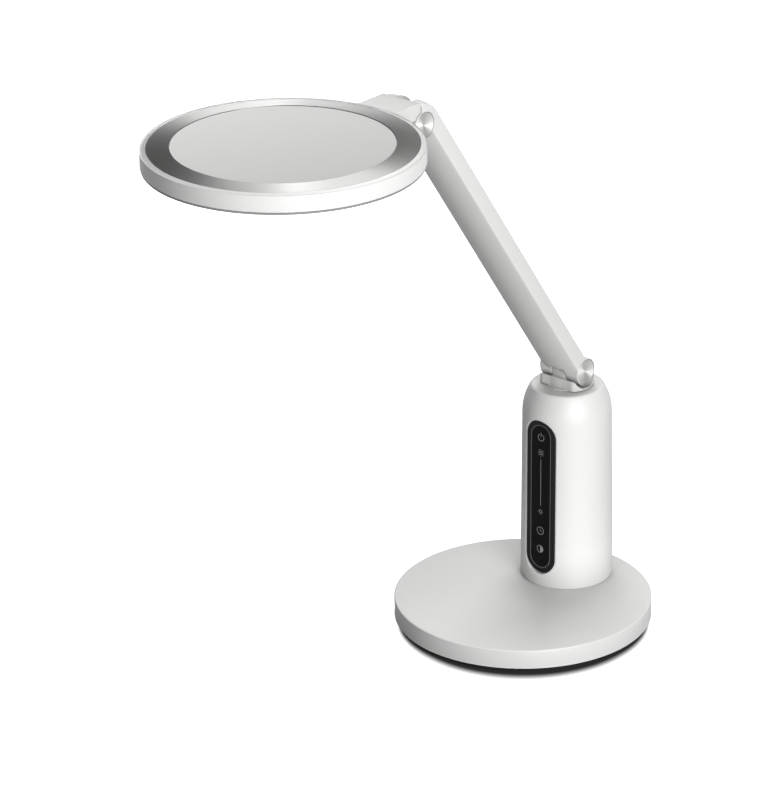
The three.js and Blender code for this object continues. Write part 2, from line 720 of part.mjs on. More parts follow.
// The arm group starts at the lower hinge: +Z runs along the arm and +Y is its back
const arm = new THREE.Group();
arm.position.set(0, 0, lowerHingeRise);
arm.rotation.x = THREE.MathUtils.degToRad(armLean);
swivel.add(arm);

// How far the arm's outside stands from its middle plane at a place across it
function armFront(x) {
  return armSide / 2 + armFrontBulge * (1 - (x / armHalfWidth) ** 2);
}

function armBack(x) {
  return armSide / 2 + armBackBulge * (1 - (x / armHalfWidth) ** 2);
}

// The arm's lens-shaped section drawn in by an inset, as [x, back] points
function armSection(inset) {
  const halfWidth = armHalfWidth - inset;
  const places = Array.from({ length: bulgeSteps + 1 }, (unused, i) => (
    -halfWidth + (2 * halfWidth * i) / bulgeSteps));
  const front = places.map((x) => [x, inset - armFront(x)]);
  const back = places.map((x) => [x, armBack(x) - inset]).reverse();
  return [...front, ...back];
}

// Cuts that a fork needs round its hinge: cap recesses, bolt bore and two counterbores
const recessFloor = armHalfWidth - capThickness - capSunk;
const headSeat = recessFloor - boltHeadHeight - seatGap;
const nutSeat = recessFloor - nutHeight - seatGap;

function hingeCuts(y, z) {
  const past = armHalfWidth + overrun;
  return [
    barrel(barrelRadius - capRim, recessFloor, past, hingeSides, y, z),
    barrel(barrelRadius - capRim, -past, -recessFloor, hingeSides, y, z),
    barrel(boltRadius + seatGap, -past, past, boltSides, y, z),
    barrel(boltHeadRadius + seatGap, headSeat, past, hingeSides, y, z),
    barrel(nutRadius + seatGap, -past, -nutSeat, hingeSides, y, z),
  ];
}

// Bolt, nut, friction washers and turned caps of one hinge
function addHingeSet(prefix, y, z) {
  const boltReach = headSeat + nutSeat + nutHeight;
  const boltProfile = screwProfile(boltRadius, boltHeadRadius, boltHeadHeight, boltReach)
    .map(([radius, along]) => [radius, along + headSeat]);
  addPart(arm, `${prefix}_hinge_bolt`, turnedAlongX(boltProfile, boltSides, y, z), materials.steel);

  const nutBlank = barrel(nutRadius, -nutSeat - nutHeight, -nutSeat, 6, y, z);
  const nutBore = barrel(boltRadius + seatGap, -armHalfWidth, 0, boltSides, y, z);
  addPart(arm, `${prefix}_hinge_nut`, nutBlank.subtract(nutBore), materials.steel);

  const face = recessFloor + capThickness;
  const capRadius = barrelRadius - capRim - seatGap;
  const capProfile = [[0, recessFloor], [capRadius, recessFloor], [capRadius, face], [0, face - capDish]];
  const washerInner = slotHalfWidth - frictionWasherThickness;
  const washerHole = boltRadius + seatGap;
  const washerProfile = [[washerHole, washerInner], [frictionWasherRadius, washerInner],
    [frictionWasherRadius, slotHalfWidth], [washerHole, slotHalfWidth], [washerHole, washerInner]];
  [['left', -1], ['right', 1]].forEach(([side, sign]) => {
    const placed = (profile) => profile.map(([radius, along]) => [radius, sign * along]);
    const washer = turnedAlongX(placed(washerProfile), hingeSides, y, z);
    addPart(arm, `${prefix}_friction_washer_${side}`, washer, materials.nylon);
    const cap = turnedAlongX(placed(capProfile), hingeSides, y, z);
    addPart(arm, `${prefix}_cap_${side}`, cap, materials.turnedMetal);
  });
}

// One [along, back] outline for each place across the arm, skinned into a closed solid
function loftAcross(outlineAt) {
  const places = Array.from({ length: bulgeSteps + 1 }, (unused, i) => (
    -armHalfWidth + (2 * armHalfWidth * i) / bulgeSteps));
  const rings = places.map((x) => outlineAt(x).map(([along, back]) => [x, back, along]));
  const count = rings[0].length;
  const corners = [];
  for (let i = 0; i < rings.length - 1; i += 1) {
    for (let j = 0; j < count; j += 1) {
      const next = (j + 1) % count;
      const [a, b, c, d] = [i * count + j, i * count + next, (i + 1) * count + next, (i + 1) * count + j];
      corners.push(a, b, c, a, c, d);
    }
  }
  const outline = rings[0].map(([, back, along]) => new THREE.Vector2(back, along));
  const lastRing = (rings.length - 1) * count;
  THREE.ShapeUtils.triangulateShape(outline, []).forEach(([a, b, c]) => {
    const wound = THREE.ShapeUtils.isClockWise(outline) ? [a, b, c] : [c, b, a];
    corners.push(...wound, ...wound.map((corner) => corner + lastRing).reverse());
  });
  const geometry = new THREE.BufferGeometry();
  geometry.setAttribute('position', new THREE.Float32BufferAttribute(rings.flat(2), 3));
  geometry.setIndex(corners);
  return solidOf(geometry);
}

const tubeEnd = armReach - upperSeam;

function makeArmTube() {
  const bore = prism(armSection(armWall), lowerSeam - overrun, tubeEnd + overrun);
  const tube = prism(armSection(0), lowerSeam, tubeEnd).subtract(bore);
  addPart(arm, 'arm_tube', tube, materials.silverPaint);
}

// Lower fork: the arm's section run down to a plain barrel, split by the knuckle's slot
function makeLowerFork() {
  const seam = lowerSeam - seatGap;
  const shank = prism(armSection(0), 0, seam);
  const plug = prism(armSection(armWall + seatGap), seam - weld, lowerSeam + plugLength);
  const round = barrel(barrelRadius, -armHalfWidth, armHalfWidth, hingeSides);
  const slot = block([-slotHalfWidth, -saddleRadius, -barrelRadius - overrun],
    [slotHalfWidth, saddleRadius, knuckleRadius + runGap]);
  addPart(arm, 'lower_fork', cut(join([shank, plug, round]), [slot, ...hingeCuts(0, 0)]), materials.silverPaint);
  addHingeSet('lower', 0, 0);
}

// Upper fork: the back rolls over the hinge like a hook and stops at a shoulder behind the neck
function makeUpperFork() {
  const hingeY = -upperHingeOffset;
  const seam = tubeEnd + seatGap;
  const crown = loftAcross((x) => {
    const rollHeight = upperHingeOffset + armSide / 2 + (armBack(x) - armSide / 2) / 2;
    const roll = arcPoints(armReach, hingeY, rollHeight, upperHingeOffset + armBack(x), 0, 90, crownSteps);
    return [[seam, -armFront(x)], [armReach, -armFront(x)], ...roll, [seam, armBack(x)]];
  });
  const plug = prism(armSection(armWall + seatGap), tubeEnd - plugLength, seam + weld);
  const round = barrel(barrelRadius, -armHalfWidth, armHalfWidth, hingeSides, hingeY, armReach);
  const reach = 2 * (upperHingeOffset + armSide);
  const inFront = block([-armHalfWidth - overrun, -reach, -reach],
    [armHalfWidth + overrun, runGap - neckSetback, reach]);
  const levelled = geometryOf(inFront).rotateX(THREE.MathUtils.degToRad(-armLean));
  const aboveHinge = block([-armHalfWidth - overrun, -reach, armReach],
    [armHalfWidth + overrun, reach, armReach + reach]);
  const neckSpace = solidOf(levelled.translate(0, hingeY, armReach)).intersect(aboveHinge);
  const slot = block([-slotHalfWidth, hingeY - reach, armReach - knuckleRadius - runGap],
    [slotHalfWidth, reach, armReach + reach]);
  const fork = cut(join([crown.subtract(neckSpace), round, plug]), [slot, ...hingeCuts(hingeY, armReach)]);
  addPart(arm, 'upper_fork', fork, materials.silverPaint);
  addHingeSet('upper', hingeY, armReach);
}

// The head group starts at the upper hinge and is level while headTilt is zero
const head = new THREE.Group();
head.position.set(0, -upperHingeOffset, armReach);
head.rotation.x = THREE.MathUtils.degToRad(headTilt - armLean);
arm.add(head);

// Levels of the light head below its lip, and its circles
const wallInner = headRadius - rimWall;
const lipInner = headRadius - lipWidth;
const dropInRadius = lipInner - seatGap;
const trimRingInner = headRadius - trimRingReach;
const ringInnerTop = trimRingRise - trimRingDrop;
const coverUnderside = -trimRingDrop - trimRingThickness - seatGap - coverFlange;
const backPlateTop = coverUnderside - seatGap;
const backPlateBottom = backPlateTop - backPlateThickness;
const ledgeTop = backPlateBottom - seatGap;
const ledgeBottom = ledgeTop - ledgeThickness;
const ledgeInner = headRadius - ledgeReach;
const skirtBottom = ledgeBottom - skirtDepth;
const diffuserTop = skirtBottom - seatGap;
const diffuserBottom = diffuserTop - diffuserThickness;
const neckScrewLevel = (ledgeBottom + diffuserTop) / 2;
const neckScrewX = [-neckScrewSpacing / 2, neckScrewSpacing / 2];

function makeNeck() {
  const neckTop = headRise - neckDrop;
  const neckBottom = neckTop - neckHeight;
  const slab = block([-neckHalfWidth, headRadius - headReach - 2 * rimWall, neckBottom],
    [neckHalfWidth, -neckSetback, neckTop]);
  const knuckle = barrel(knuckleRadius, -knuckleHalfWidth, knuckleHalfWidth, hingeSides);
  const [foot] = arcPoints(0, 0, knuckleRadius, knuckleRadius, 180 + gussetAngle, 180 + gussetAngle, 1);
  const gusset = prismAlongX([foot, [-neckSetback, 0], [-neckSetback, neckTop], [-2 * knuckleRadius, neckTop],
    [-2 * knuckleRadius, neckBottom]], -knuckleHalfWidth, knuckleHalfWidth);
  const tineSpace = [[-neckHalfWidth - overrun, -knuckleHalfWidth], [knuckleHalfWidth, neckHalfWidth + overrun]]
    .map(([left, right]) => barrel(barrelRadius + runGap, left, right, hingeSides));
  const rimProfile = [[0, 0], [headRadius + seatGap, 0], [headRadius + seatGap, 2 * headRise], [0, 2 * headRise]];
  const rimSpace = solidOf(revolveGeometry(rimProfile, discSides).translate(0, -headReach, 0));
  const boltBore = barrel(boltRadius + runGap, -armHalfWidth, armHalfWidth, boltSides);
  const screwHoles = neckScrewX.map((x) => (
    barrelAlongY(neckScrewRadius + seatGap, -headReach, headRadius + neckScrewReach - headReach, boltSides, x,
      headRise + neckScrewLevel)));
  const neck = cut(join([cut(slab, tineSpace), knuckle, gusset]), [rimSpace, boltBore, ...screwHoles]);
  addPart(head, 'neck', neck, materials.silverPaint);
}

// The light head is built round its own centre, with its lip at height zero
const disc = new THREE.Group();
disc.position.set(0, -headReach, headRise);
head.add(disc);

function makeRim() {
  const edge = arcPoints(headRadius - rimEdge, -rimEdge, rimEdge, rimEdge, 0, 90, 2);
  const rim = revolveLoop([[wallInner, -rimHeight], [headRadius, -rimHeight], ...edge, [lipInner, 0],
    [lipInner, -lipThickness], [wallInner, -lipThickness], [wallInner, ledgeTop], [ledgeInner, ledgeTop],
    [ledgeInner, skirtBottom], [ledgeInner + skirtWall, skirtBottom], [ledgeInner + skirtWall, ledgeBottom],
    [wallInner, ledgeBottom]], discSides);
  const holeStart = (ledgeInner + skirtWall + wallInner) / 2;
  const screwHoles = neckScrewX.map((x) => (
    barrelAlongY(neckScrewRadius + seatGap, holeStart, headRadius + overrun, boltSides, x, neckScrewLevel)));
  addPart(disc, 'head_rim', cut(rim, screwHoles), materials.whiteGloss);

  const wallFace = Math.sqrt(wallInner ** 2 - (neckScrewSpacing / 2 + neckScrewHead) ** 2) - seatGap;
  const profile = screwProfile(neckScrewRadius, neckScrewHead, neckScrewHeadHeight, neckScrewReach);
  const screws = neckScrewX.map((x) => {
    const geometry = revolveGeometry(profile, screwSides).rotateX(Math.PI / 2);
    return solidOf(geometry.translate(x, wallFace, neckScrewLevel));
  });
  addCopies(disc, 'neck_screw', screws, materials.steel);
}

function makeTopCovers() {
  const ringUnderside = ringInnerTop - trimRingThickness;
  const trimRing = revolveLoop([[trimRingInner, ringUnderside], [dropInRadius, -trimRingDrop - trimRingThickness],
    [dropInRadius, -trimRingDrop], [trimRingInner, ringInnerTop]], discSides);
  addPart(disc, 'trim_ring', trimRing, materials.turnedMetal);

  const discRadius = trimRingInner - seatGap;
  const coverTop = ringInnerTop - coverStep;
  const cover = revolve([[0, coverTop - coverPlate], [discRadius - coverPlate, coverTop - coverPlate],
    [discRadius - coverPlate, coverUnderside], [dropInRadius, coverUnderside],
    [dropInRadius, coverUnderside + coverFlange], [discRadius, ringUnderside - seatGap], [discRadius, coverTop],
    [0, coverTop]], discSides);
  addPart(disc, 'top_cover', cover, materials.matteWhite);
}

function makeLightUnit() {
  const sheetTop = backPlateBottom - seatGap;
  const sheetBottom = sheetTop - sheetThickness;
  const guideTop = sheetBottom - seatGap;
  const guideBottom = guideTop - guideThickness;
  const stripOuter = ledgeInner - seatGap;
  const stripInner = stripOuter - ledStripThickness;
  const guideRadius = stripInner - ledDepth - seatGap;
  addPart(disc, 'backing_plate', post(dropInRadius, backPlateBottom, backPlateTop, discSides),
    materials.aluminium);
  addPart(disc, 'reflector_sheet', post(guideRadius, sheetBottom, sheetTop, discSides), materials.matteWhite);
  addPart(disc, 'light_guide', post(guideRadius, guideBottom, guideTop, discSides), materials.acrylic);

  const ledBox = ledDepth + ledStripThickness / 2;
  const leds = aroundCircle(ledCount, stripInner - ledDepth + ledBox / 2, 180 / ledCount).map(([x, y, angle]) => {
    const chip = new THREE.BoxGeometry(ledBox, ledLength, ledHeight);
    return solidOf(chip.rotateZ(angle).translate(x, y, (guideTop + guideBottom) / 2));
  });
  const strip = ring(stripInner, stripOuter, guideBottom, sheetTop, discSides);
  addPart(disc, 'led_strip', join([strip, ...leds]), materials.circuitBoard);

  addPart(disc, 'diffuser', post(wallInner - seatGap, diffuserBottom, diffuserTop, discSides), materials.opal);

  const bezelTop = -rimHeight - seatGap;
  const bezelBottom = bezelTop - bezelThickness;
  const bezelOuter = headRadius - seatGap;
  const upstandTop = Math.min(bezelTop + bezelUpstand, diffuserBottom - seatGap);
  const bezel = revolveLoop([[bezelOuter - bezelWidth, bezelBottom], [bezelOuter, bezelBottom],
    [bezelOuter, bezelTop], [wallInner - seatGap, bezelTop], [wallInner - seatGap, upstandTop],
    [bezelOuter - bezelWidth, upstandTop]], discSides);
  addPart(disc, 'bezel_ring', bezel, materials.satinSilver);
}

makeBaseCover();
makeTray();
makeWeight();
makeJack();
makeColumnShell();
makePanel();
makeBoards();
makeSwivelSeat();
makeSwivel();
makeArmTube();
makeLowerFork();
makeUpperFork();
makeNeck();
makeRim();
makeTopCovers();
makeLightUnit();

export default lamp;
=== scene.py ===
"""Led desk lamp: smooth shells, finishes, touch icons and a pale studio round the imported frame."""

import json
import math

import bmesh
import bpy
import numpy as np
from bpy.props import FloatProperty, FloatVectorProperty, IntProperty, PointerProperty
from mathutils import Matrix, Vector


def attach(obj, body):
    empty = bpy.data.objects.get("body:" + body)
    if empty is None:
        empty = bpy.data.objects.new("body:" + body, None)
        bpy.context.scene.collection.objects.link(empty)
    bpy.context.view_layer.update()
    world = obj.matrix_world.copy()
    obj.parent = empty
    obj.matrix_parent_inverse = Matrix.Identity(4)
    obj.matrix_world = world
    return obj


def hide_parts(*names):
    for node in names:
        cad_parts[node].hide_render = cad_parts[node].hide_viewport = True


bl_info = {
    "name": "Led desk lamp",
    "version": (1, 0, 0),
    "blender": (4, 5, 0),
    "location": "View3D > Sidebar > Lamp",
    "description": "Shells, finishes and studio for a hinged led desk lamp",
    "category": "Object",
}

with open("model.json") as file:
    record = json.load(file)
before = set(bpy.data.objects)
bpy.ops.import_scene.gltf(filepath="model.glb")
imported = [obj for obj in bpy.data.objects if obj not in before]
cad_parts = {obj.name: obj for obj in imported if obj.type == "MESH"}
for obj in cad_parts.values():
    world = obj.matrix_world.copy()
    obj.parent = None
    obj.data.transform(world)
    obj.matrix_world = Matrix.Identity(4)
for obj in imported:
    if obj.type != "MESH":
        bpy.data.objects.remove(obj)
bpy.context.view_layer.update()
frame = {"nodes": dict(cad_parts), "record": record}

MM = 0.001
OVERRUN = 1.0
ROUND_STEPS = 5
SMOOTH_ANGLE = 25.0
MERGE_DISTANCE = 0.002
LEAST_EDGE = 0.001

# Points round a cutter
BORE_STEPS = 48
SCREW_STEPS = 32
JACK_STEPS = 64
RECESS_STEPS = 96

# Base, millimetres
BASE_RADIUS = 100.0
BASE_TOP = 19.6
SKIRT_LIFT = 4.7
SKIRT_DRAFT = 0.3
COVER_WALL = 2.4
TRAY_RADIUS = 97.0
TRAY_BOTTOM = 0.8
TRAY_TOP = 7.3
WELL_RADIUS = 84.0
WELL_FLOOR = 3.8
FOOT_RADIUS = 84.0
FOOT_TOP = 2.3
TRAY_SCREW_CIRCLE = 92.0
TRAY_SCREW_HOLE = 3.1
JACK_LEVEL = 11.6
JACK_HOLE = 4.3
JACK_DEPTH = 10.0
COLUMN_WELL = 9.0
PAD_CRUSH = 0.05
TRAY_SCREWS = 4
# Radii of rounded corners, each by the corner's number in its profile
COVER_CORNERS = {1: 0.8, 2: 0.2, 3: 0.35, 4: 1.1}
TRAY_CORNERS = {3: 0.6, 4: 0.3}
PAD_CORNERS = {1: 0.5, 2: 0.2}

# Column
COLUMN_Y = 54.5
COLUMN_TOP = 178.8
COLUMN_FOOT = 36.0
COLUMN_WAIST = 34.65
SHOULDER_START = 156.0
SHOULDER_RADIUS = 42.0
SHOULDER_END = 178.1
TOP_FLAT = 27.2
COLUMN_WALL = 2.6
COLUMN_ROOF = 3.5
BUSH_HOLE = 7.1
FOOT_GROOVE = 0.5
FOOT_GROOVE_HEIGHT = 0.6
SHOULDER_EDGE = 1.6
TOP_EDGE = 1.1
SHOULDER_STEPS = 17
WALL_RINGS = 45
WALL_SMOOTH = 16.0

# Touch panel
PANEL_WIDTH = 28.0
PANEL_HEIGHT = 128.8
PANEL_MIDDLE = 93.9
PANEL_REACH = 32.6
PANEL_SLOPE = (COLUMN_FOOT - COLUMN_WAIST) / (SHOULDER_START - BASE_TOP)
POCKET_WALL = 2.0
BEVEL_DEPTH = 0.4
FRAME_WIDTH = 4.2
REBATE_WIDTH = 1.6
LENS_THICKNESS = 1.8
REBATE_THICKNESS = 1.0
SEAT_GAP = 0.3
PANEL_CUT = 8.0
BEVEL_CUT = 3.0
FRAME_EDGE = 0.8
LENS_EDGE = 0.2

# Print on the lens: places are heights above the table, rays run from the first radius to the second
PRINT_SINK = 0.05
POWER_PLACE, POWER_RADIUS, POWER_GAP, POWER_STEM = 143.6, 2.8, 28.0, (0.6, 4.0)
SUN_PLACE, SUN_RADIUS, SUN_RAYS = 130.8, 1.2, (2.0, 3.2)
SLIDE_TOP, SLIDE_FOOT = 125.5, 86.4
DIM_PLACE, DIM_RADIUS, DIM_RAYS = 81.2, 1.15, (1.9, 2.35)
CLOCK_PLACE, CLOCK_RADIUS, CLOCK_HOUR, CLOCK_MINUTE = 65.1, 3.1, (1.2, -0.7), (0.0, 1.7)
CONTRAST_PLACE, CONTRAST_RADIUS, CONTRAST_FILL = 49.6, 3.0, 2.9
RAYS = 8
BORDER_HALF_WIDTH = 9.4
BORDER_HALF_HEIGHT = 59.8
BORDER_LINE = 0.62

# Saddle bracket and hinges
LOWER_HINGE = (COLUMN_Y, 192.6)
SADDLE_RADIUS = 20.6
SADDLE_FRONT = 13.4
SADDLE_CORNER = 4.0
SADDLE_UNDERSIDE = 0.7
SADDLE_FLOOR = 1.5
SADDLE_RISE = 8.5
HINGE_RISE = 13.8
SADDLE_EDGE = 0.5
SADDLE_EDGE_SHARE = 0.3
SADDLE_STEPS = 73
POCKET_RADIUS = 13.2
KNUCKLE_HALF = 6.0
KNUCKLE_RADIUS = 10.2
KNUCKLE_EDGE = 0.35
KNUCKLE_GAP = 0.4
SLOT_HALF = 6.8
BARREL_RADIUS = 10.8
BOLT_BORE = 3.4
CAP_RADIUS = 9.95
CAP_RECESS = 10.2
CAP_FLOOR = 16.6
CAP_FACE = 18.2
CAP_DISH = 0.9
CAP_EDGE = 0.25
CAP_RIM = 0.6
CAP_SEAT = 0.01
CAP_BOWL_POWER = 1.15

# Arm
LEAN = math.radians(35.0)
ARM_REACH = 315.0
UPPER_OFFSET = 9.4
ARM_HALF = 18.5
ARM_SIDE = 6.0
ARM_FRONT_BULGE = 4.0
ARM_BACK_BULGE = 2.2
ARM_WALL = 2.0
LOWER_SEAM = 11.85
UPPER_SEAM = 301.15
NECK_CLEARANCE = 3.0
TUBE_SMOOTH = 30.0

# Neck and head
NECK_HALF = 17.7
NECK_TOP = 17.7
NECK_BOTTOM = 6.0
NECK_REAR = 3.4
GUSSET_START = 20.4
GUSSET_FOOT = math.radians(210.0)
NECK_EDGE = 0.5
NECK_SOFT = 0.3
NECK_SOFT_ANGLE = 60.0
HEAD_REACH = 130.4
HEAD_RISE = 18.9
HEAD_RADIUS = 99.6
RIM_HEIGHT = 12.7
RIM_WALL = 2.4
LIP_WIDTH = 4.2
LIP_THICKNESS = 1.6
LEDGE_TOP = -5.3
LEDGE_BOTTOM = -6.3
LEDGE_INNER = 92.0
INNER_SKIRT = 1.5
SKIRT_BOTTOM = -9.6
RING_INNER = 78.9
RING_OUTER = 95.1
RING_INNER_TOP = 0.8
RING_OUTER_TOP = -0.3
RING_THICKNESS = 1.3
COVER_TOP = 0.6
COVER_THICKNESS = 2.0
COVER_SKIRT = -3.5
BEZEL_WIDTH = 6.0
BEZEL_THICKNESS = 1.5
BEZEL_UPSTAND = 0.9
DIFFUSER_TOP = -9.9
DIFFUSER_BOTTOM = -11.4
# Radii of rounded corners, each by the corner's number in its profile
RIM_CORNERS = {1: 0.3, 3: 0.25}
RING_CORNERS = {2: 0.12, 3: 0.12}
DISC_CORNERS = {6: 0.25}
BEZEL_CORNERS = {0: 0.3, 1: 0.5}
DIFFUSER_CORNERS = {1: 0.2, 2: 0.2}

UPPER_HINGE = (
    LOWER_HINGE[0] - ARM_REACH * math.sin(LEAN) - UPPER_OFFSET * math.cos(LEAN),
    LOWER_HINGE[1] + ARM_REACH * math.cos(LEAN) - UPPER_OFFSET * math.sin(LEAN),
)
HEAD_CENTRE = (0.0, UPPER_HINGE[0] - HEAD_REACH, UPPER_HINGE[1] + HEAD_RISE)

# Studio floor in millimetres
FLOOR_RADIUS = 6000.0
FLOOR_THICKNESS = 20.0
FLOOR_DROP = 0.2
FLOOR_STEPS = 96

# The painted contact shadow on the floor at the foot, in metres: the side where it is widest, the radius it
# starts from beside the foot and in front of it, its width, and how much of the floor's tone is left where it
# starts. A point's cosine from that side is 1 in front. The second radius sets in above one cosine, and the
# shadow gets no narrower below the other
SHADE_SIDE = (0.652, -0.758, 0.0)
SHADE_BESIDE, SHADE_FRONT, SHADE_WIDTH, SHADE_LEFT = 0.0965, 0.0985, 0.015, 0.02
FRONT_COSINE, NARROWEST_COSINE = 0.7, 0.08

# The floor's tone for light that bounces off it and for rays that look at it, and how bright it is in a
# gloss: least at the foot, full at the far distance
BOUNCE_TONE, SEEN_TONE = 0.16, 0.8
MIRROR_NEAR, MIRROR_FAR, MIRROR_LEAST = 0.1, 1.6, 0.15

# Lamps, in metres and degrees
LAMP_AIM = (0.0, -0.1, 0.2)
LAMPS = (
    # power setting, azimuth from the front, elevation, distance, diameter
    ("key", 63.0, 10.0, 3.0, 2.0),
    ("back", 214.0, 58.0, 2.2, 1.45),
    ("high", 60.0, 55.0, 2.2, 1.0),
)

# Camera, from a fit of the photograph's ellipses: metres, degrees and pixels
CAMERA_PLACE = (1.87714, -2.33649, 1.47907)
CAMERA_TILT, CAMERA_TURN, CAMERA_ROLL = 23.38, 40.7, -0.77
FOCAL_PIXELS, FRAME_PIXELS, SENSOR = 4296.3, 800.0, 36.0


# Settings


def colour(name, description, value):
    """A colour setting in scene linear values."""
    return FloatVectorProperty(
        name=name, description=description, subtype="COLOR", size=3, min=0.0, max=1.0, default=value)


def length(name, description, value):
    """A length setting in metres."""
    return FloatProperty(
        name=name, description=description, unit="LENGTH", subtype="DISTANCE", precision=5, min=0.0,
        default=value)


def steps_round(name, description, least, value):
    """A setting for the number of points round a turned piece."""
    return IntProperty(name=name, description=description, min=least, max=720, default=value)


def strength(name, description, value, unit="NONE"):
    """A setting for a lamp's power or the strength of a light."""
    return FloatProperty(name=name, description=description, unit=unit, min=0.0, default=value)


class LampSizes(bpy.types.PropertyGroup):
    """Sizes of the shells' fine details and how finely the shells are made."""

    disc_steps: steps_round("Disc steps", "Points round the base and the head", 24, 256)
    column_steps: steps_round("Column steps", "Points round the column", 24, 240)
    hinge_steps: steps_round("Hinge steps", "Points round a hinge cap", 16, 96)
    arm_edge: length("Arm edge", "Rounding of the arm's long edges", 0.0006)
    slot_edge: length("Slot edge", "Rounding of the edges of a fork's slot", 0.0004)
    rim_edge: length("Rim edge", "Rounding of the head rim's upper edge", 0.0008)
    window_bevel: length("Window bevel", "Width of the bevel round the touch window", 0.0009)
    print_height: length("Print height", "How far the printed icons stand on the lens", 0.00004)
    line_width: length("Line width", "Width of the printed lines", 0.000468)


class LampColours(bpy.types.PropertyGroup):
    """Colours of the lamp's finishes."""

    base_silver: colour("Base silver", "Satin paint of the base", (0.88, 0.88, 0.87))
    arm_silver: colour("Arm silver", "Satin paint of the arm and the neck", (0.81, 0.81, 0.80))
    # The saddle's tone is the arm's paint made darker: painted shade for the shade round the saddle
    saddle: colour("Saddle silver with painted shade", "Arm paint made darker as painted shade on the saddle", (0.70, 0.70, 0.69))
    white: colour("White", "Polished white of the column and the head rim", (0.86, 0.86, 0.85))
    cover: colour("Cover", "Matt top cover of the head", (0.74, 0.74, 0.73))
    metal: colour("Turned metal", "Trim ring", (0.45, 0.45, 0.445))
    cap: colour("Cap metal", "Hinge caps", (0.66, 0.66, 0.65))
    black: colour("Black plastic", "Foot, tray, inlet and panel frame", (0.016, 0.016, 0.016))
    lens: colour("Lens", "Touch window", (0.008, 0.008, 0.008))
    ink: colour("Print", "Touch icons", (0.32, 0.32, 0.32))
    ink_line: colour("Print line", "Line round the touch window", (0.16, 0.16, 0.16))
    foam: colour("Foam", "Foot pad", (0.02, 0.02, 0.02))


class LampStage(bpy.types.PropertyGroup):
    """Lamps and world of the studio."""

    world: colour("World", "Colour of the light from all around", (1.0, 1.0, 1.0))
    world_strength: strength("World strength", "Strength of the light from all around", 0.01)
    key: strength("Key", "Power of the large low lamp right of the camera", 98.0, "POWER")
    back: strength("Back", "Power of the lamp high behind the object", 34.0, "POWER")
    high: strength("High", "Power of the lamp high at the right", 6.0, "POWER")


# Shapes


def grid_faces(rows, columns, wrap_rows=False):
    """Quads of a grid of points: each row is a closed loop, and the last joins the first if rows wrap."""
    i = np.arange(rows if wrap_rows else rows - 1)
    j = np.arange(columns)
    i, j = (part.ravel() for part in np.meshgrid(i, j, indexing="ij"))
    following, beside = (i + 1) % rows, (j + 1) % columns
    return np.stack(
        [i * columns + j, i * columns + beside, following * columns + beside, following * columns + j], -1)


def rounded(corners, radii, steps=ROUND_STEPS):
    """A polyline whose corners are arcs: each corner gives way to a circle of its radius that touches both
    sides, drawn from the one touching point to the other."""
    corners = np.asarray(corners, float)
    out = []
    for k, corner in enumerate(corners):
        radius = radii.get(k, 0.0)
        if radius <= 0.0:
            out.append(corner[None, :])
            continue
        before = corners[k - 1] - corner
        after = corners[(k + 1) % len(corners)] - corner
        before /= np.linalg.norm(before)
        after /= np.linalg.norm(after)
        half = math.acos(float(np.clip(before @ after, -1, 1))) / 2
        reach = radius / math.tan(half)
        middle = (before + after) / np.linalg.norm(before + after)
        centre = corner + middle * radius / math.sin(half)
        start = corner + before * reach - centre
        sweep = math.pi - 2 * half
        if start[0] * after[1] - start[1] * after[0] < 0:
            sweep = -sweep
        turn = np.linspace(0, sweep, steps + 1)
        cos, sin = np.cos(turn), np.sin(turn)
        across, up = start[0] * cos - start[1] * sin, start[0] * sin + start[1] * cos
        out.append(centre + np.stack([across, up], -1))
    return np.concatenate(out)


def disc(radius, bottom, top):
    """Profile of a plain disc from its axis along the bottom, and back to its axis along the top."""
    return [(0, bottom), (radius, bottom), (radius, top), (0, top)]


def lathe(profile, steps, centre=(0.0, 0.0, 0.0)):
    """A profile of (radius, height) turned round an upright axis: x = r cos a, y = r sin a, z = h."""
    profile = np.asarray(profile, float)
    angle = np.linspace(0, 2 * math.pi, steps, endpoint=False)
    radius, height = profile[:, :1], profile[:, 1:]
    points = np.stack([radius * np.cos(angle), radius * np.sin(angle), height + 0 * angle], -1)
    return points + np.asarray(centre)


def lathe_across(profile, steps, y, z):
    """A profile of (radius, place) turned round an axis along X: y = r cos a, z = r sin a."""
    profile = np.asarray(profile, float)
    angle = np.linspace(0, 2 * math.pi, steps, endpoint=False)
    radius, place = profile[:, :1], profile[:, 1:]
    return np.stack([place + 0 * angle, y + radius * np.cos(angle), z + radius * np.sin(angle)], -1)


def new_piece(name, points, wrap=False, ends=False, smooth=SMOOTH_ANGLE):
    """A closed mesh from a grid of points in millimetres, one loop of points to a row. Rows that shrink to a
    point close by themselves, ends closes the first and last loop with a flat face, and wrap joins them."""
    points = np.asarray(points, float)
    rows, columns = points.shape[:2]
    faces = grid_faces(rows, columns, wrap).tolist()
    if ends:
        faces.append(list(range(columns))[::-1])
        faces.append(list(range((rows - 1) * columns, rows * columns)))
    mesh = bpy.data.meshes.new(name)
    mesh.from_pydata((points.reshape(-1, 3) * MM).tolist(), [], faces)
    piece = bpy.data.objects.new(name, mesh)
    bpy.context.scene.collection.objects.link(piece)
    tidy(piece, smooth)
    return piece


def tidy(piece, smooth):
    """Merges double points, drops faces with no area, turns every face outwards and keeps only edges
    sharper than the given angle sharp."""
    mesh = piece.data
    work = bmesh.new()
    work.from_mesh(mesh)
    bmesh.ops.remove_doubles(work, verts=work.verts, dist=MERGE_DISTANCE * MM)
    bmesh.ops.dissolve_degenerate(work, dist=LEAST_EDGE * MM, edges=work.edges)
    bmesh.ops.recalc_face_normals(work, faces=work.faces)
    work.to_mesh(mesh)
    work.free()
    mesh.shade_smooth()
    mesh.set_sharp_from_angle(angle=math.radians(smooth))


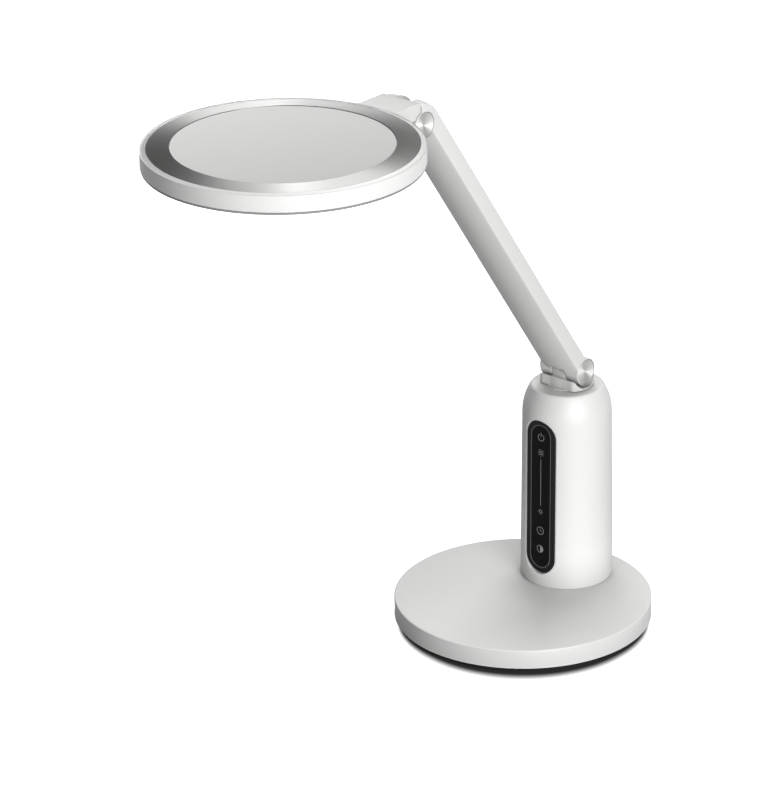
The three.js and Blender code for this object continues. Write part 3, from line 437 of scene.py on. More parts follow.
def settle(piece, smooth=SMOOTH_ANGLE):
    """Bakes a piece's modifiers into its mesh."""
    graph = bpy.context.evaluated_depsgraph_get()
    mesh = bpy.data.meshes.new_from_object(piece.evaluated_get(graph), depsgraph=graph)
    piece.modifiers.clear()
    piece.data = mesh
    tidy(piece, smooth)


def carve(piece, cutters, smooth=SMOOTH_ANGLE, operation="DIFFERENCE"):
    """Takes closed cutters out of a piece, or joins or intersects them, one exact boolean each, and removes
    the cutters."""
    for cutter in cutters:
        step = piece.modifiers.new("carve", "BOOLEAN")
        step.operation = operation
        step.solver = "EXACT"
        step.object = cutter
    settle(piece, smooth)
    for cutter in cutters:
        bpy.data.objects.remove(cutter)


def soften(piece, width, angle):
    """Rounds a piece's edges sharper than an angle in degrees by a width in millimetres."""
    bevel = piece.modifiers.new("soften", "BEVEL")
    bevel.width = width * MM
    bevel.segments = 2
    bevel.limit_method = "ANGLE"
    bevel.angle_limit = math.radians(angle)
    bevel.use_clamp_overlap = False
    settle(piece)


def finish_piece(piece, material, body, slot, *nodes):
    """Gives a piece its finish and its body, and hides the nodes it stands for. The slot is not used."""
    piece.data.materials.clear()
    piece.data.materials.append(material)
    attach(piece, body)
    if nodes:
        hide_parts(*nodes)


# The column's wall and the panel's face


def shoulder_profile(inset, top):
    """The column's outside drawn in by an inset: a straight taper up to the shoulder, then an arc that ends
    where the outside reaches the top height."""
    end = math.asin((top - SHOULDER_START) / SHOULDER_RADIUS)
    turn = np.linspace(0, end, SHOULDER_STEPS)
    arc = SHOULDER_RADIUS - inset
    middle = COLUMN_WAIST - SHOULDER_RADIUS
    return np.stack([middle + arc * np.cos(turn), SHOULDER_START + arc * np.sin(turn)], -1)


def column_radius(height):
    """Radius of the column's outside at a height: linear up to the shoulder, then the shoulder's circle."""
    share = (height - BASE_TOP) / (SHOULDER_START - BASE_TOP)
    taper = COLUMN_FOOT + (COLUMN_WAIST - COLUMN_FOOT) * share
    above = np.clip(height - SHOULDER_START, 0, SHOULDER_RADIUS)
    arc = COLUMN_WAIST - SHOULDER_RADIUS + np.sqrt(SHOULDER_RADIUS ** 2 - above ** 2)
    return np.where(height > SHOULDER_START, arc, taper)


def on_column(side, height, depth):
    """Points on the column's front, below its surface by a depth: y is minus the root of r squared less
    x squared."""
    radius = column_radius(height) - depth
    return np.stack([side + 0 * height, COLUMN_Y - np.sqrt(radius ** 2 - side ** 2), height + 0 * side], -1)


def on_panel(side, height, depth):
    """Points below the flat face of the touch panel by a depth: y rises with the height by the slope of the
    column's wall."""
    y = COLUMN_Y - PANEL_REACH + (height - PANEL_MIDDLE) * PANEL_SLOPE + depth
    return np.stack([side + 0 * height, y + 0 * side, height + 0 * side], -1)


def stadium(half_width, half_height, count=30, side_count=40):
    """A stadium outline as its middle line and the outward direction at each point, so that a point at
    distance d from the middle line is middle + d times direction."""
    half = half_height - half_width
    turn = np.linspace(0, math.pi, count)
    side = np.linspace(half, -half, side_count)[1:-1]
    direction = np.concatenate([
        np.stack([np.cos(turn), np.sin(turn)], -1),
        np.stack([np.full_like(side, -1.0), 0 * side], -1),
        np.stack([-np.cos(turn), -np.sin(turn)], -1),
        np.stack([np.full_like(side, 1.0), 0 * side], -1),
    ])
    middle = np.concatenate([np.full(count, half), side, np.full(count, -half), side[::-1]])
    return middle, direction


def panel_shell(name, loops, place=on_panel, wrap=False):
    """A closed shape on the column's front from loops of (distance from the window's middle line, depth):
    each loop is the stadium at that distance, laid on the panel's face and sunk by that depth."""
    middle, direction = stadium(PANEL_WIDTH / 2, PANEL_HEIGHT / 2)
    rows = [place(distance * direction[:, 0], PANEL_MIDDLE + middle + distance * direction[:, 1], depth)
            for distance, depth in loops]
    return new_piece(name, np.stack(rows), wrap=wrap)


# Arm sections


def bulge(x, height):
    """How far a side of the arm stands out beyond its flat half thickness: a parabola across the arm."""
    return height * (1 - (x / ARM_HALF) ** 2)


def edge_inset(x, half, edge):
    """How far an outline draws in near its ends so that the edge is a quarter circle."""
    over = np.clip(np.abs(x) - (half - edge), 0, edge)
    return edge - np.sqrt(edge ** 2 - over ** 2)


def slot_inset(x, slot_edge):
    """How far a fork's outline draws in beside its slot, so that the slot's edge is a quarter circle."""
    if abs(x) >= 2 * SLOT_HALF:
        return 0.0
    return float(edge_inset(2 * SLOT_HALF - abs(x), SLOT_HALF, slot_edge))


def edge_places(half, edge, steps=4):
    """Places across a piece that follow its rounded edge up to the end face."""
    turn = np.linspace(0, math.pi / 2, steps + 1)
    return half - edge + edge * np.sin(turn)


def straight(start, end, count):
    """Points along a straight line, both ends included."""
    return np.linspace(start, end, count)


def run(*stops):
    """Straight lines through corners, without the last point: a corner, then how many points the line has up
    to and with the next corner, and so on."""
    corners, counts = stops[::2], stops[1::2]
    return np.concatenate([straight(*ends)[:-1] for ends in zip(corners, corners[1:], counts)])


def arc(centre, radii, start, end, count):
    """Points of an ellipse's arc between two angles."""
    turn = np.linspace(start, end, count)
    return np.stack([centre[0] + radii[0] * np.cos(turn), centre[1] + radii[1] * np.sin(turn)], -1)


def along_arm(back, along, x):
    """Points in space from measures in the arm's frame: back from its axis, along it and x across it."""
    y = LOWER_HINGE[0] - along * math.sin(LEAN) + back * math.cos(LEAN)
    z = LOWER_HINGE[1] + along * math.cos(LEAN) + back * math.sin(LEAN)
    return np.stack([np.full_like(y, x), y, z], -1)


def mirrored_places(half, edge, slot, slot_edge):
    """Places across a fork from one end to the other: (x, between the tines or not)."""
    outer = edge_places(half, edge)
    inner = slot + slot_edge - slot_edge * np.sin(np.linspace(0, math.pi / 2, 4))
    level = np.linspace(half - edge, slot + slot_edge, 6)[1:-1]
    tine = np.concatenate([outer[::-1], level, inner])
    web = np.linspace(slot, -slot, 7)
    return [(x, False) for x in tine] + [(x, True) for x in web] + [(-x, False) for x in tine[::-1]]


def loft(name, outline_at, places):
    """One outline for each place across the arm, skinned into a closed solid with flat ends."""
    rows = [along_arm(*outline_at(x, web).T, x) for x, web in places]
    return new_piece(name, np.stack(rows), ends=True)


def lower_outline(edge, slot_edge):
    """Outline of the lower fork at a place across it: a strip as thick as the arm joined to the barrel
    round the hinge, and between the tines only the web above the slot."""
    web_level = KNUCKLE_RADIUS + KNUCKLE_GAP
    barrel_steps, wall_steps = 56, 6

    def outline(x, web):
        inset = float(edge_inset(x, ARM_HALF, edge))
        front = ARM_SIDE + bulge(x, ARM_FRONT_BULGE) - inset
        back = ARM_SIDE + bulge(x, ARM_BACK_BULGE) - inset
        at_slot = slot_inset(x, slot_edge)
        radius = BARREL_RADIUS - inset - at_slot
        front_level = math.sqrt(max(radius ** 2 - front ** 2, 0.0))
        back_level = math.sqrt(max(radius ** 2 - back ** 2, 0.0))
        seam, front_web, back_web = (-front, LOWER_SEAM), (-front, web_level), (back, web_level)
        top = run((back, LOWER_SEAM), wall_steps, seam, 2, front_web)
        close = run(back_web, 2, (back, LOWER_SEAM))
        if web:
            under = run(front_web, barrel_steps + 2 * (wall_steps - 1), back_web)
            return np.concatenate([top, under, close])
        start = math.atan2(front_level, -front)
        end = math.atan2(back_level, back) + 2 * math.pi
        return np.concatenate([
            top,
            run(front_web, wall_steps, (-front, front_level)),
            arc((0, 0), (radius, radius), start, end, barrel_steps),
            run((back, back_level), wall_steps, back_web)[1:],
            close,
        ])

    return outline


def upper_outline(edge, slot_edge):
    """Outline of the upper fork at a place across it: the arm's section runs up behind the hinge, rolls
    forwards over it on an ellipse, stops at an upright shoulder behind the neck, and joins the barrel."""
    web_level = ARM_REACH - KNUCKLE_RADIUS - KNUCKLE_GAP
    cos, sin = math.cos(LEAN), math.sin(LEAN)
    seam_steps, roll_samples = 6, 400
    wall_steps, circle_steps, shoulder_steps, roll_steps, back_steps, end_steps = 4, 48, 5, 22, 4, 3

    def outline(x, web):
        inset = float(edge_inset(x, ARM_HALF, edge))
        front = ARM_SIDE + bulge(x, ARM_FRONT_BULGE) - inset
        full_back = ARM_SIDE + bulge(x, ARM_BACK_BULGE)
        at_slot = slot_inset(x, slot_edge)
        back = full_back - inset
        upper_back = back - at_slot
        radius = BARREL_RADIUS - inset - at_slot
        front_seam, back_seam, back_web = (-front, UPPER_SEAM), (back, UPPER_SEAM), (back, web_level)
        if web:
            rest = circle_steps + shoulder_steps + roll_steps + back_steps - 3
            return run(back_seam, seam_steps, front_seam, wall_steps, (-front, web_level), rest, back_web,
                       end_steps, back_seam)
        reach = UPPER_OFFSET - front
        meet = -math.sqrt(max(radius ** 2 - reach ** 2, 0.0))
        shoulder = -NECK_CLEARANCE + inset + at_slot
        rise = math.sqrt(radius ** 2 - shoulder ** 2)
        circle_end = (shoulder * cos + rise * sin, -shoulder * sin + rise * cos)
        start = math.atan2(meet, reach)
        end = math.atan2(circle_end[1], circle_end[0])
        circle = arc((-UPPER_OFFSET, ARM_REACH), (radius, radius), start, end - 2 * math.pi, circle_steps)
        roll_up = UPPER_OFFSET + ARM_SIDE + (full_back - ARM_SIDE) / 2 - inset - at_slot
        roll_back = UPPER_OFFSET + upper_back
        turn = np.linspace(0, math.pi / 2, roll_samples)
        roll = np.stack([roll_back * np.sin(turn), roll_up * np.cos(turn)], -1)
        level = roll[:, 0] * cos - roll[:, 1] * sin
        first = float(np.interp(shoulder, level, turn))
        turn = np.linspace(first, math.pi / 2, roll_steps)
        roll = np.stack([roll_back * np.sin(turn) - UPPER_OFFSET, roll_up * np.cos(turn) + ARM_REACH], -1)
        return np.concatenate([
            run(back_seam, seam_steps, front_seam, wall_steps, (-front, ARM_REACH + meet)),
            circle,
            run(circle[-1], shoulder_steps, roll[0])[1:],
            roll,
            run(roll[-1], back_steps, back_web, end_steps, back_seam)[1:],
        ])

    return outline


def rounded_end(half, edge, count):
    """Places across a piece from its end inwards along its rounded edge: (x, how far the outline is in)."""
    return [(half - edge + edge * math.cos(turn), edge * (1 - math.sin(turn)))
            for turn in np.linspace(0, math.pi / 2, count)]


def both_sides(wing, knuckle):
    """Places from one end of a piece to the other, out of those from one end inwards: (x, part of the knuckle
    or not, how far the outline is in)."""
    places = [(x, False, inset) for x, inset in wing] + [(x, True, inset) for x, inset in knuckle]
    return places + [(-x, middle, inset) for x, middle, inset in places[::-1] if x > 0]


def skin(name, outline, places, y, z):
    """A closed solid with flat ends from places across it, each (x, what the outline takes): its loops of
    (back, up) points stand round a centre at (y, z)."""
    rows = []
    for x, *rest in places:
        loop = outline(x, *rest)
        rows.append(np.stack([np.full(len(loop), x), y + loop[:, 0], z + loop[:, 1]], -1))
    return new_piece(name, np.stack(rows), ends=True)


def knuckle_bore(y, z):
    """A cutter for the bolt's bore through a knuckle."""
    return rod(y, z, BOLT_BORE, -KNUCKLE_HALF - OVERRUN, KNUCKLE_HALF + OVERRUN)


def rod(y, z, radius, left, right, steps=BORE_STEPS):
    """A closed cylinder along X, used as a cutter."""
    return new_piece("cutter", lathe_across(disc(radius, left, right), steps, y, z))


def upright_rod(x, y, radius, bottom, top, steps=BORE_STEPS):
    """A closed upright cylinder, used as a cutter."""
    return new_piece("cutter", lathe(disc(radius, bottom, top), steps, (x, y, 0)))


def cap_recesses(y, z):
    """Cutters for a hinge's two cap recesses and its bolt bore."""
    past = ARM_HALF + OVERRUN
    return [rod(y, z, CAP_RECESS, CAP_FLOOR, past, RECESS_STEPS),
            rod(y, z, CAP_RECESS, -past, -CAP_FLOOR, RECESS_STEPS),
            rod(y, z, BOLT_BORE, -CAP_FLOOR - OVERRUN, CAP_FLOOR + OVERRUN)]


# Finishes


class Finish:
    """A new material, with short ways to add linked nodes and to set its Principled shader."""

    def __init__(self, name):
        old = bpy.data.materials.get(name)
        if old is not None:
            bpy.data.materials.remove(old)
        self.material = bpy.data.materials.new(name)
        self.material.use_nodes = True
        self.tree = self.material.node_tree
        self.shader = self.tree.nodes["Principled BSDF"]

    def put(self, node, inputs):
        """Sets a node's inputs: a socket is linked, and any other value is written on the input."""
        for key, value in inputs.items():
            if isinstance(value, bpy.types.NodeSocket):
                self.tree.links.new(value, node.inputs[key])
            else:
                node.inputs[key].default_value = value

    def add(self, kind, inputs=(), **settings):
        """A node with its settings and inputs."""
        node = self.tree.nodes.new(kind)
        for key, value in settings.items():
            setattr(node, key, value)
        self.put(node, dict(inputs))
        return node

    def place(self, centre=None, stretch=(1.0, 1.0, 1.0)):
        """Object coordinates, moved so that a centre in millimetres is at zero, and stretched."""
        place = self.add("ShaderNodeTexCoord").outputs["Object"]
        if centre is None and stretch == (1.0, 1.0, 1.0):
            return place
        shift = [-value * MM for value in centre or (0, 0, 0)]
        inputs = {"Vector": place, "Location": shift, "Scale": stretch}
        return self.add("ShaderNodeMapping", inputs).outputs[0]

    def noise(self, place, scale, detail=2.0):
        """Noise from 0 to 1 over a place."""
        inputs = {"Vector": place, "Scale": scale, "Detail": detail}
        return self.add("ShaderNodeTexNoise", inputs).outputs["Fac"]

    def maths(self, operation, one, two):
        """Two values added, multiplied and so on."""
        return self.add("ShaderNodeMath", {0: one, 1: two}, operation=operation).outputs[0]

    def vector_maths(self, operation, one, two=None, output=0):
        """Two vectors multiplied and so on, or a measure of one or of both."""
        inputs = {0: one} if two is None else {0: one, 1: two}
        return self.add("ShaderNodeVectorMath", inputs, operation=operation).outputs[output]

    def ramp(self, value, low, high, start=0.0, end=1.0, **settings):
        """A value that goes from low to high while its source goes from start to end."""
        inputs = {0: value, 1: start, 2: end, 3: low, 4: high}
        return self.add("ShaderNodeMapRange", inputs, **settings).outputs[0]

    def tint(self, base, spread, factor):
        """A colour that drifts by a small spread round its base, driven by a factor from 0 to 1."""
        low = [max(channel * (1 - spread), 0.0) for channel in base] + [1.0]
        high = [min(channel * (1 + spread), 1.0) for channel in base] + [1.0]
        return self.add("ShaderNodeMix", {0: factor, 6: low, 7: high}, data_type="RGBA").outputs[2]

    def relief(self, height, strength, depth):
        """A normal dented by a height, to a depth in metres."""
        inputs = {"Strength": strength, "Distance": depth, "Height": height}
        return self.add("ShaderNodeBump", inputs).outputs[0]

    def done(self, shader_inputs):
        """The finished material, its shader set."""
        self.put(self.shader, shader_inputs)
        return self.material


def paint(name, base, roughness, gloss=0.3, grain=5200.0, bump=0.12, spread=0.02, corner=0.0, reach=0.02):
    """Sprayed or moulded finish: slow colour drift, patchy roughness and a fine grain in the surface. Corner
    is painted shade: how much darker the colour is made where an ambient occlusion node finds another surface
    closing in within a reach in metres."""
    nodes = Finish(name)
    place = nodes.place()
    slow, fine = nodes.noise(place, 24.0, 3.0), nodes.noise(place, grain)
    patch = nodes.noise(place, 130.0, 4.0)
    tint = nodes.tint(base, spread, nodes.maths("MULTIPLY", nodes.maths("ADD", slow, fine), 0.5))
    # Painted shade: an ambient occlusion node darkens the colour where other surfaces close in
    if corner > 0:
        clear = nodes.add("ShaderNodeAmbientOcclusion", {"Distance": reach}, samples=8).outputs["AO"]
        painted_shade = nodes.ramp(clear, 1.0 - corner, 1.0, start=0.35)
        tint = nodes.add("ShaderNodeVectorMath", {0: tint, "Scale": painted_shade}, operation="SCALE").outputs[0]
    return nodes.done({
        "Base Color": tint,
        "Roughness": nodes.ramp(patch, roughness - 0.04, roughness + 0.04),
        "Normal": nodes.relief(fine, bump, 0.00003),
        "Specular IOR Level": gloss,
    })


def turned(name, base, centre, across, pitch, roughness=0.6, anisotropy=0.7, turn=0.25):
    """Metal turned on a lathe: fine grooves at equal steps of the distance from the axis, light and dark
    bands among them, and a gloss stretched across the grooves."""
    nodes = Finish(name)
    flat = nodes.vector_maths("MULTIPLY", nodes.place(centre), across)
    radius = nodes.vector_maths("LENGTH", flat, output="Value")
    bands = []
    for share, detail in ((1.0, 3.0), (0.2, 2.0)):
        inputs = {"W": radius, "Scale": share / (pitch * MM), "Detail": detail}
        bands.append(nodes.add("ShaderNodeTexNoise", inputs, noise_dimensions="1D").outputs["Fac"])
    groove, band = bands
    rings = nodes.maths("MULTIPLY", nodes.maths("ADD", groove, band), 0.5)
    return nodes.done({
        "Base Color": nodes.tint(base, 0.07, rings),
        "Roughness": nodes.ramp(groove, roughness - 0.05, roughness + 0.06),
        "Normal": nodes.relief(groove, 0.12, 0.00002),
        "Tangent": nodes.add("ShaderNodeTangent", direction_type="UV_MAP", uv_map="Turn").outputs[0],
        "Metallic": 0.9,
        "Anisotropic": anisotropy,
        "Anisotropic Rotation": turn,
    })


def glass_black(name, base):
    """Black window: a faint drift of tone and a weak gloss that fine dust makes uneven."""
    nodes = Finish(name)
    place = nodes.place()
    dust = nodes.noise(place, 2400.0, 4.0)
    return nodes.done({
        "Base Color": nodes.tint(base, 0.25, nodes.noise(place, 40.0)),
        "Roughness": nodes.ramp(dust, 0.10, 0.20),
        "Specular IOR Level": 0.04,
    })


def mill_metal(name, base, roughness, scale=900.0):
    """Plated or mill-finish metal: short drawn streaks in tone and roughness."""
    nodes = Finish(name)
    streak = nodes.noise(nodes.place(stretch=(1.0, 1.0, 8.0)), scale, 4.0)
    return nodes.done({
        "Base Color": nodes.tint(base, 0.12, streak),
        "Roughness": nodes.ramp(streak, roughness - 0.08, roughness + 0.08),
        "Metallic": 1.0,
    })


def foam_sheet(name, base):
    """Closed-cell foam: cells about 0.4 mm across that dent the surface."""
    nodes = Finish(name)
    cells = nodes.add("ShaderNodeTexVoronoi", {"Vector": nodes.place(), "Scale": 2600.0}).outputs["Distance"]
    return nodes.done({
        "Base Color": nodes.tint(base, 0.35, cells),
        "Normal": nodes.relief(cells, 0.5, 0.0001),
        "Roughness": 0.95,
    })


def board(name, base, centre, spacing):
    """Circuit board: solder mask with pale copper tracks laid like bricks and a fine grain in the gloss."""
    nodes = Finish(name)
    place = nodes.place(centre)
    tracks = nodes.add("ShaderNodeTexBrick", {
        "Vector": place, "Scale": 1.0 / (spacing * MM), "Mortar Size": 0.04, "Color1": (*base, 1.0),
        "Color2": (*[channel * 0.8 for channel in base], 1.0), "Mortar": (0.28, 0.36, 0.16, 1.0)})
    return nodes.done({
        "Base Color": tracks.outputs["Color"],
        "Roughness": nodes.ramp(nodes.noise(place, 3000.0), 0.35, 0.55),
    })


def clear_sheet(name, base, centre):
    """Clear acrylic light guide with a field of fine printed dots."""
    nodes = Finish(name)
    dots = nodes.add("ShaderNodeTexVoronoi", {
        "Vector": nodes.place(centre), "Scale": 700.0, "Randomness": 0.0}).outputs["Distance"]
    return nodes.done({
        "Base Color": nodes.tint(base, 0.04, dots),
        "Roughness": nodes.ramp(dots, 0.5, 0.1),
        "Transmission Weight": 0.85,
    })


# A finish by its slot or part: how it is made, its name, its colour or colour setting, and what else it takes
# Corner in these options is painted shade: the finish's colour darkens where other surfaces close in on it
FINISHES = {
    "base_silver": (paint, "satin silver base", "base_silver",
                    dict(roughness=0.38, gloss=0.7, corner=0.28, reach=0.04)),
    "arm_silver": (paint, "satin silver arm", "arm_silver",
                   dict(roughness=0.46, gloss=0.35, corner=0.35, reach=0.006)),
    # The arm's satin paint made darker: painted shade round the saddle
    "saddle_silver_painted_shade": (paint, "satin silver saddle", "saddle",
                      dict(roughness=0.46, corner=0.3, reach=0.006)),
    "bezel_silver": (paint, "satin grey bezel", (0.30, 0.30, 0.30), dict(roughness=0.4)),
    "column_white": (paint, "polished white", "white", dict(
        roughness=0.46, gloss=0.8, grain=1400.0, bump=0.05, spread=0.012, corner=0.35, reach=0.03)),
    "rim_white": (paint, "polished white rim", "white",
                  dict(roughness=0.42, gloss=0.7, grain=1400.0, bump=0.05, spread=0.012)),
    "cover_white": (paint, "matt cover", "cover",
                    dict(roughness=0.62, grain=4200.0, bump=0.25, spread=0.012)),
    "black_plastic": (paint, "black moulding", "black",
                      dict(roughness=0.5, grain=3800.0, bump=0.35, spread=0.15)),
    "black_gloss": (paint, "black panel frame", "black",
                    dict(roughness=0.3, gloss=0.1, grain=3800.0, bump=0.05, spread=0.15)),
    "print": (paint, "printed ink", "ink", dict(roughness=0.5, gloss=0.2, bump=0.1, spread=0.05)),
    "print_line": (paint, "printed line", "ink_line",
                   dict(roughness=0.4, gloss=0.2, bump=0.1, spread=0.05)),
    "weight_iron": (paint, "painted iron", (0.10, 0.10, 0.11),
                    dict(roughness=0.6, grain=900.0, bump=0.5, spread=0.2)),
    "led_strip": (paint, "white strip", (0.72, 0.68, 0.50),
                  dict(roughness=0.45, grain=1800.0, bump=0.2, spread=0.06)),
    "nylon": (paint, "natural nylon", (0.66, 0.66, 0.65),
              dict(roughness=0.5, grain=2600.0, bump=0.2, spread=0.04)),
    "reflector_white": (paint, "reflector film", (0.86, 0.86, 0.85),
                        dict(roughness=0.7, grain=6000.0, bump=0.1, spread=0.01)),
    "opal": (paint, "opal diffuser", (0.86, 0.86, 0.84),
             dict(roughness=0.45, gloss=0.4, bump=0.2, spread=0.01)),
    "touch_black": (glass_black, "gloss black window", "lens", {}),
    "foam": (foam_sheet, "foam sheet", "foam", {}),
    "circuit_board": (board, "circuit board", (0.03, 0.13, 0.06),
                      dict(centre=(0, COLUMN_Y, PANEL_MIDDLE), spacing=4.0)),
    "plain_steel": (mill_metal, "plated steel", (0.55, 0.56, 0.58), dict(roughness=0.32)),
    "plain_aluminium": (mill_metal, "mill aluminium", (0.66, 0.67, 0.68),
                        dict(roughness=0.4, scale=500.0)),
    "clear_acrylic": (clear_sheet, "clear acrylic", (0.86, 0.90, 0.91), dict(centre=HEAD_CENTRE)),
    "turned_metal": (turned, "spun ring", "metal", dict(
        centre=HEAD_CENTRE, across=(1.0, 1.0, 0.0), pitch=0.25, roughness=0.5, anisotropy=0.92, turn=0.267)),
}
made = {}


def finish(slot):
    """One of the finishes, made once from the scene's colour settings."""
    if slot not in made:
        make, name, base, options = FINISHES[slot]
        if isinstance(base, str):
            base = tuple(getattr(bpy.context.scene.lamp_colours, base))
        made[slot] = make(name, base, **options)
    return made[slot]


# Operators


class LAMP_OT_base(bpy.types.Operator):
    """Base cover, bottom tray and foot pad as fine turned shells."""

    bl_idname = "lamp.base"
    bl_label = "Base"

    def execute(self, context):
        steps = context.scene.lamp_sizes.disc_steps
        inner = BASE_TOP - COVER_WALL
        profile = rounded(
            [(0, inner), (BASE_RADIUS - SKIRT_DRAFT - COVER_WALL, inner),
             (BASE_RADIUS - COVER_WALL, SKIRT_LIFT), (BASE_RADIUS, SKIRT_LIFT),
             (BASE_RADIUS - SKIRT_DRAFT, BASE_TOP), (0, BASE_TOP)],
            COVER_CORNERS)
        cover = new_piece("base_cover_shell", lathe(profile, steps))
        jack = upright_rod(0, 0, JACK_HOLE, BASE_RADIUS - JACK_DEPTH, BASE_RADIUS + OVERRUN, JACK_STEPS)
        level = Matrix.Translation((0, 0, JACK_LEVEL * MM))
        jack.data.transform(level @ Matrix.Rotation(-math.pi / 2, 4, "X"))
        well = upright_rod(0, COLUMN_Y, COLUMN_WELL, inner - OVERRUN, BASE_TOP + OVERRUN)
        carve(cover, [jack, well])
        finish_piece(cover, finish("base_silver"), "base", "base_silver", "base_cover")

        tray_profile = rounded(
            [(0, FOOT_TOP), (FOOT_RADIUS + SEAT_GAP, FOOT_TOP), (FOOT_RADIUS + SEAT_GAP, TRAY_BOTTOM),
             (TRAY_RADIUS, TRAY_BOTTOM), (TRAY_RADIUS, TRAY_TOP), (WELL_RADIUS, TRAY_TOP),
             (WELL_RADIUS, WELL_FLOOR), (0, WELL_FLOOR)], TRAY_CORNERS)
        tray = new_piece("tray_moulding", lathe(tray_profile, steps))
        below, above = TRAY_BOTTOM - OVERRUN, TRAY_TOP + OVERRUN
        holes = []
        for turn in 2 * math.pi / TRAY_SCREWS * (np.arange(TRAY_SCREWS) + 0.5):
            x, y = TRAY_SCREW_CIRCLE * math.cos(turn), TRAY_SCREW_CIRCLE * math.sin(turn)
            holes.append(upright_rod(x, y, TRAY_SCREW_HOLE, below, above, SCREW_STEPS))
        carve(tray, holes)
        finish_piece(tray, finish("black_plastic"), "base", "black_plastic", "bottom_tray")

        pad_profile = rounded(disc(FOOT_RADIUS, 0, FOOT_TOP - PAD_CRUSH), PAD_CORNERS)
        pad = new_piece("foot_pad_sheet", lathe(pad_profile, steps))
        finish_piece(pad, finish("foam"), "base", "foam", "foot_pad")
        return {"FINISHED"}


class LAMP_OT_column(bpy.types.Operator):
    """Column: a tapered tube with a rounded shoulder and a bevelled window for the touch panel."""

    bl_idname = "lamp.column"
    bl_label = "Column"

    def execute(self, context):
        sizes = context.scene.lamp_sizes
        wall = straight((COLUMN_FOOT, BASE_TOP), (COLUMN_WAIST, SHOULDER_START), WALL_RINGS)[1:-1]
        shoulder = shoulder_profile(0, SHOULDER_END)
        edge = rounded([shoulder[-2], shoulder[-1], (TOP_FLAT, COLUMN_TOP), (BUSH_HOLE, COLUMN_TOP)],
                       {1: SHOULDER_EDGE, 2: TOP_EDGE}, 6)[1:-1]
        roof = COLUMN_TOP - COLUMN_ROOF
        inner = shoulder_profile(COLUMN_WALL, roof)
        groove, groove_top = COLUMN_FOOT - FOOT_GROOVE, BASE_TOP + FOOT_GROOVE_HEIGHT
        profile = np.concatenate([
            [(groove, BASE_TOP), (groove, groove_top), (COLUMN_FOOT, groove_top)],
            wall, shoulder[:-1], edge, [(BUSH_HOLE, COLUMN_TOP), (BUSH_HOLE, roof)],
            [(inner[-1][0], roof)], inner[::-1], [(COLUMN_FOOT - COLUMN_WALL, BASE_TOP)]])
        shell = new_piece("column_shell_moulding", lathe(profile, sizes.column_steps, (0, COLUMN_Y, 0)),
                          wrap=True, smooth=WALL_SMOOTH)
        half = PANEL_WIDTH / 2
        back = LENS_THICKNESS + SEAT_GAP + REBATE_THICKNESS
        pocket = panel_shell("pocket", disc(half + POCKET_WALL, -PANEL_CUT, back))
        core = new_piece("cutter", lathe(
            np.concatenate([[(0, BASE_TOP)], [(COLUMN_FOOT - COLUMN_WALL / 2, BASE_TOP)],
                            shoulder_profile(COLUMN_WALL / 2, SHOULDER_END), [(0, SHOULDER_END)]]),
            sizes.column_steps, (0, COLUMN_Y, 0)))
        carve(pocket, [core], operation="INTERSECT")
        carve(shell, [pocket], operation="UNION")
        bevel = sizes.window_bevel / MM
        opening = panel_shell("cutter", disc(half, -PANEL_CUT, PANEL_CUT))
        edge = panel_shell("cutter", [
            (0, -BEVEL_CUT), (half + 2 * bevel, -BEVEL_CUT), (half + 2 * bevel, -BEVEL_DEPTH),
            (half - bevel, 2 * BEVEL_DEPTH), (0, 2 * BEVEL_DEPTH)], on_column)
        carve(shell, [opening], smooth=WALL_SMOOTH)
        carve(shell, [edge], smooth=WALL_SMOOTH)
        finish_piece(shell, finish("column_white"), "base", "column_white", "column_shell")
        return {"FINISHED"}


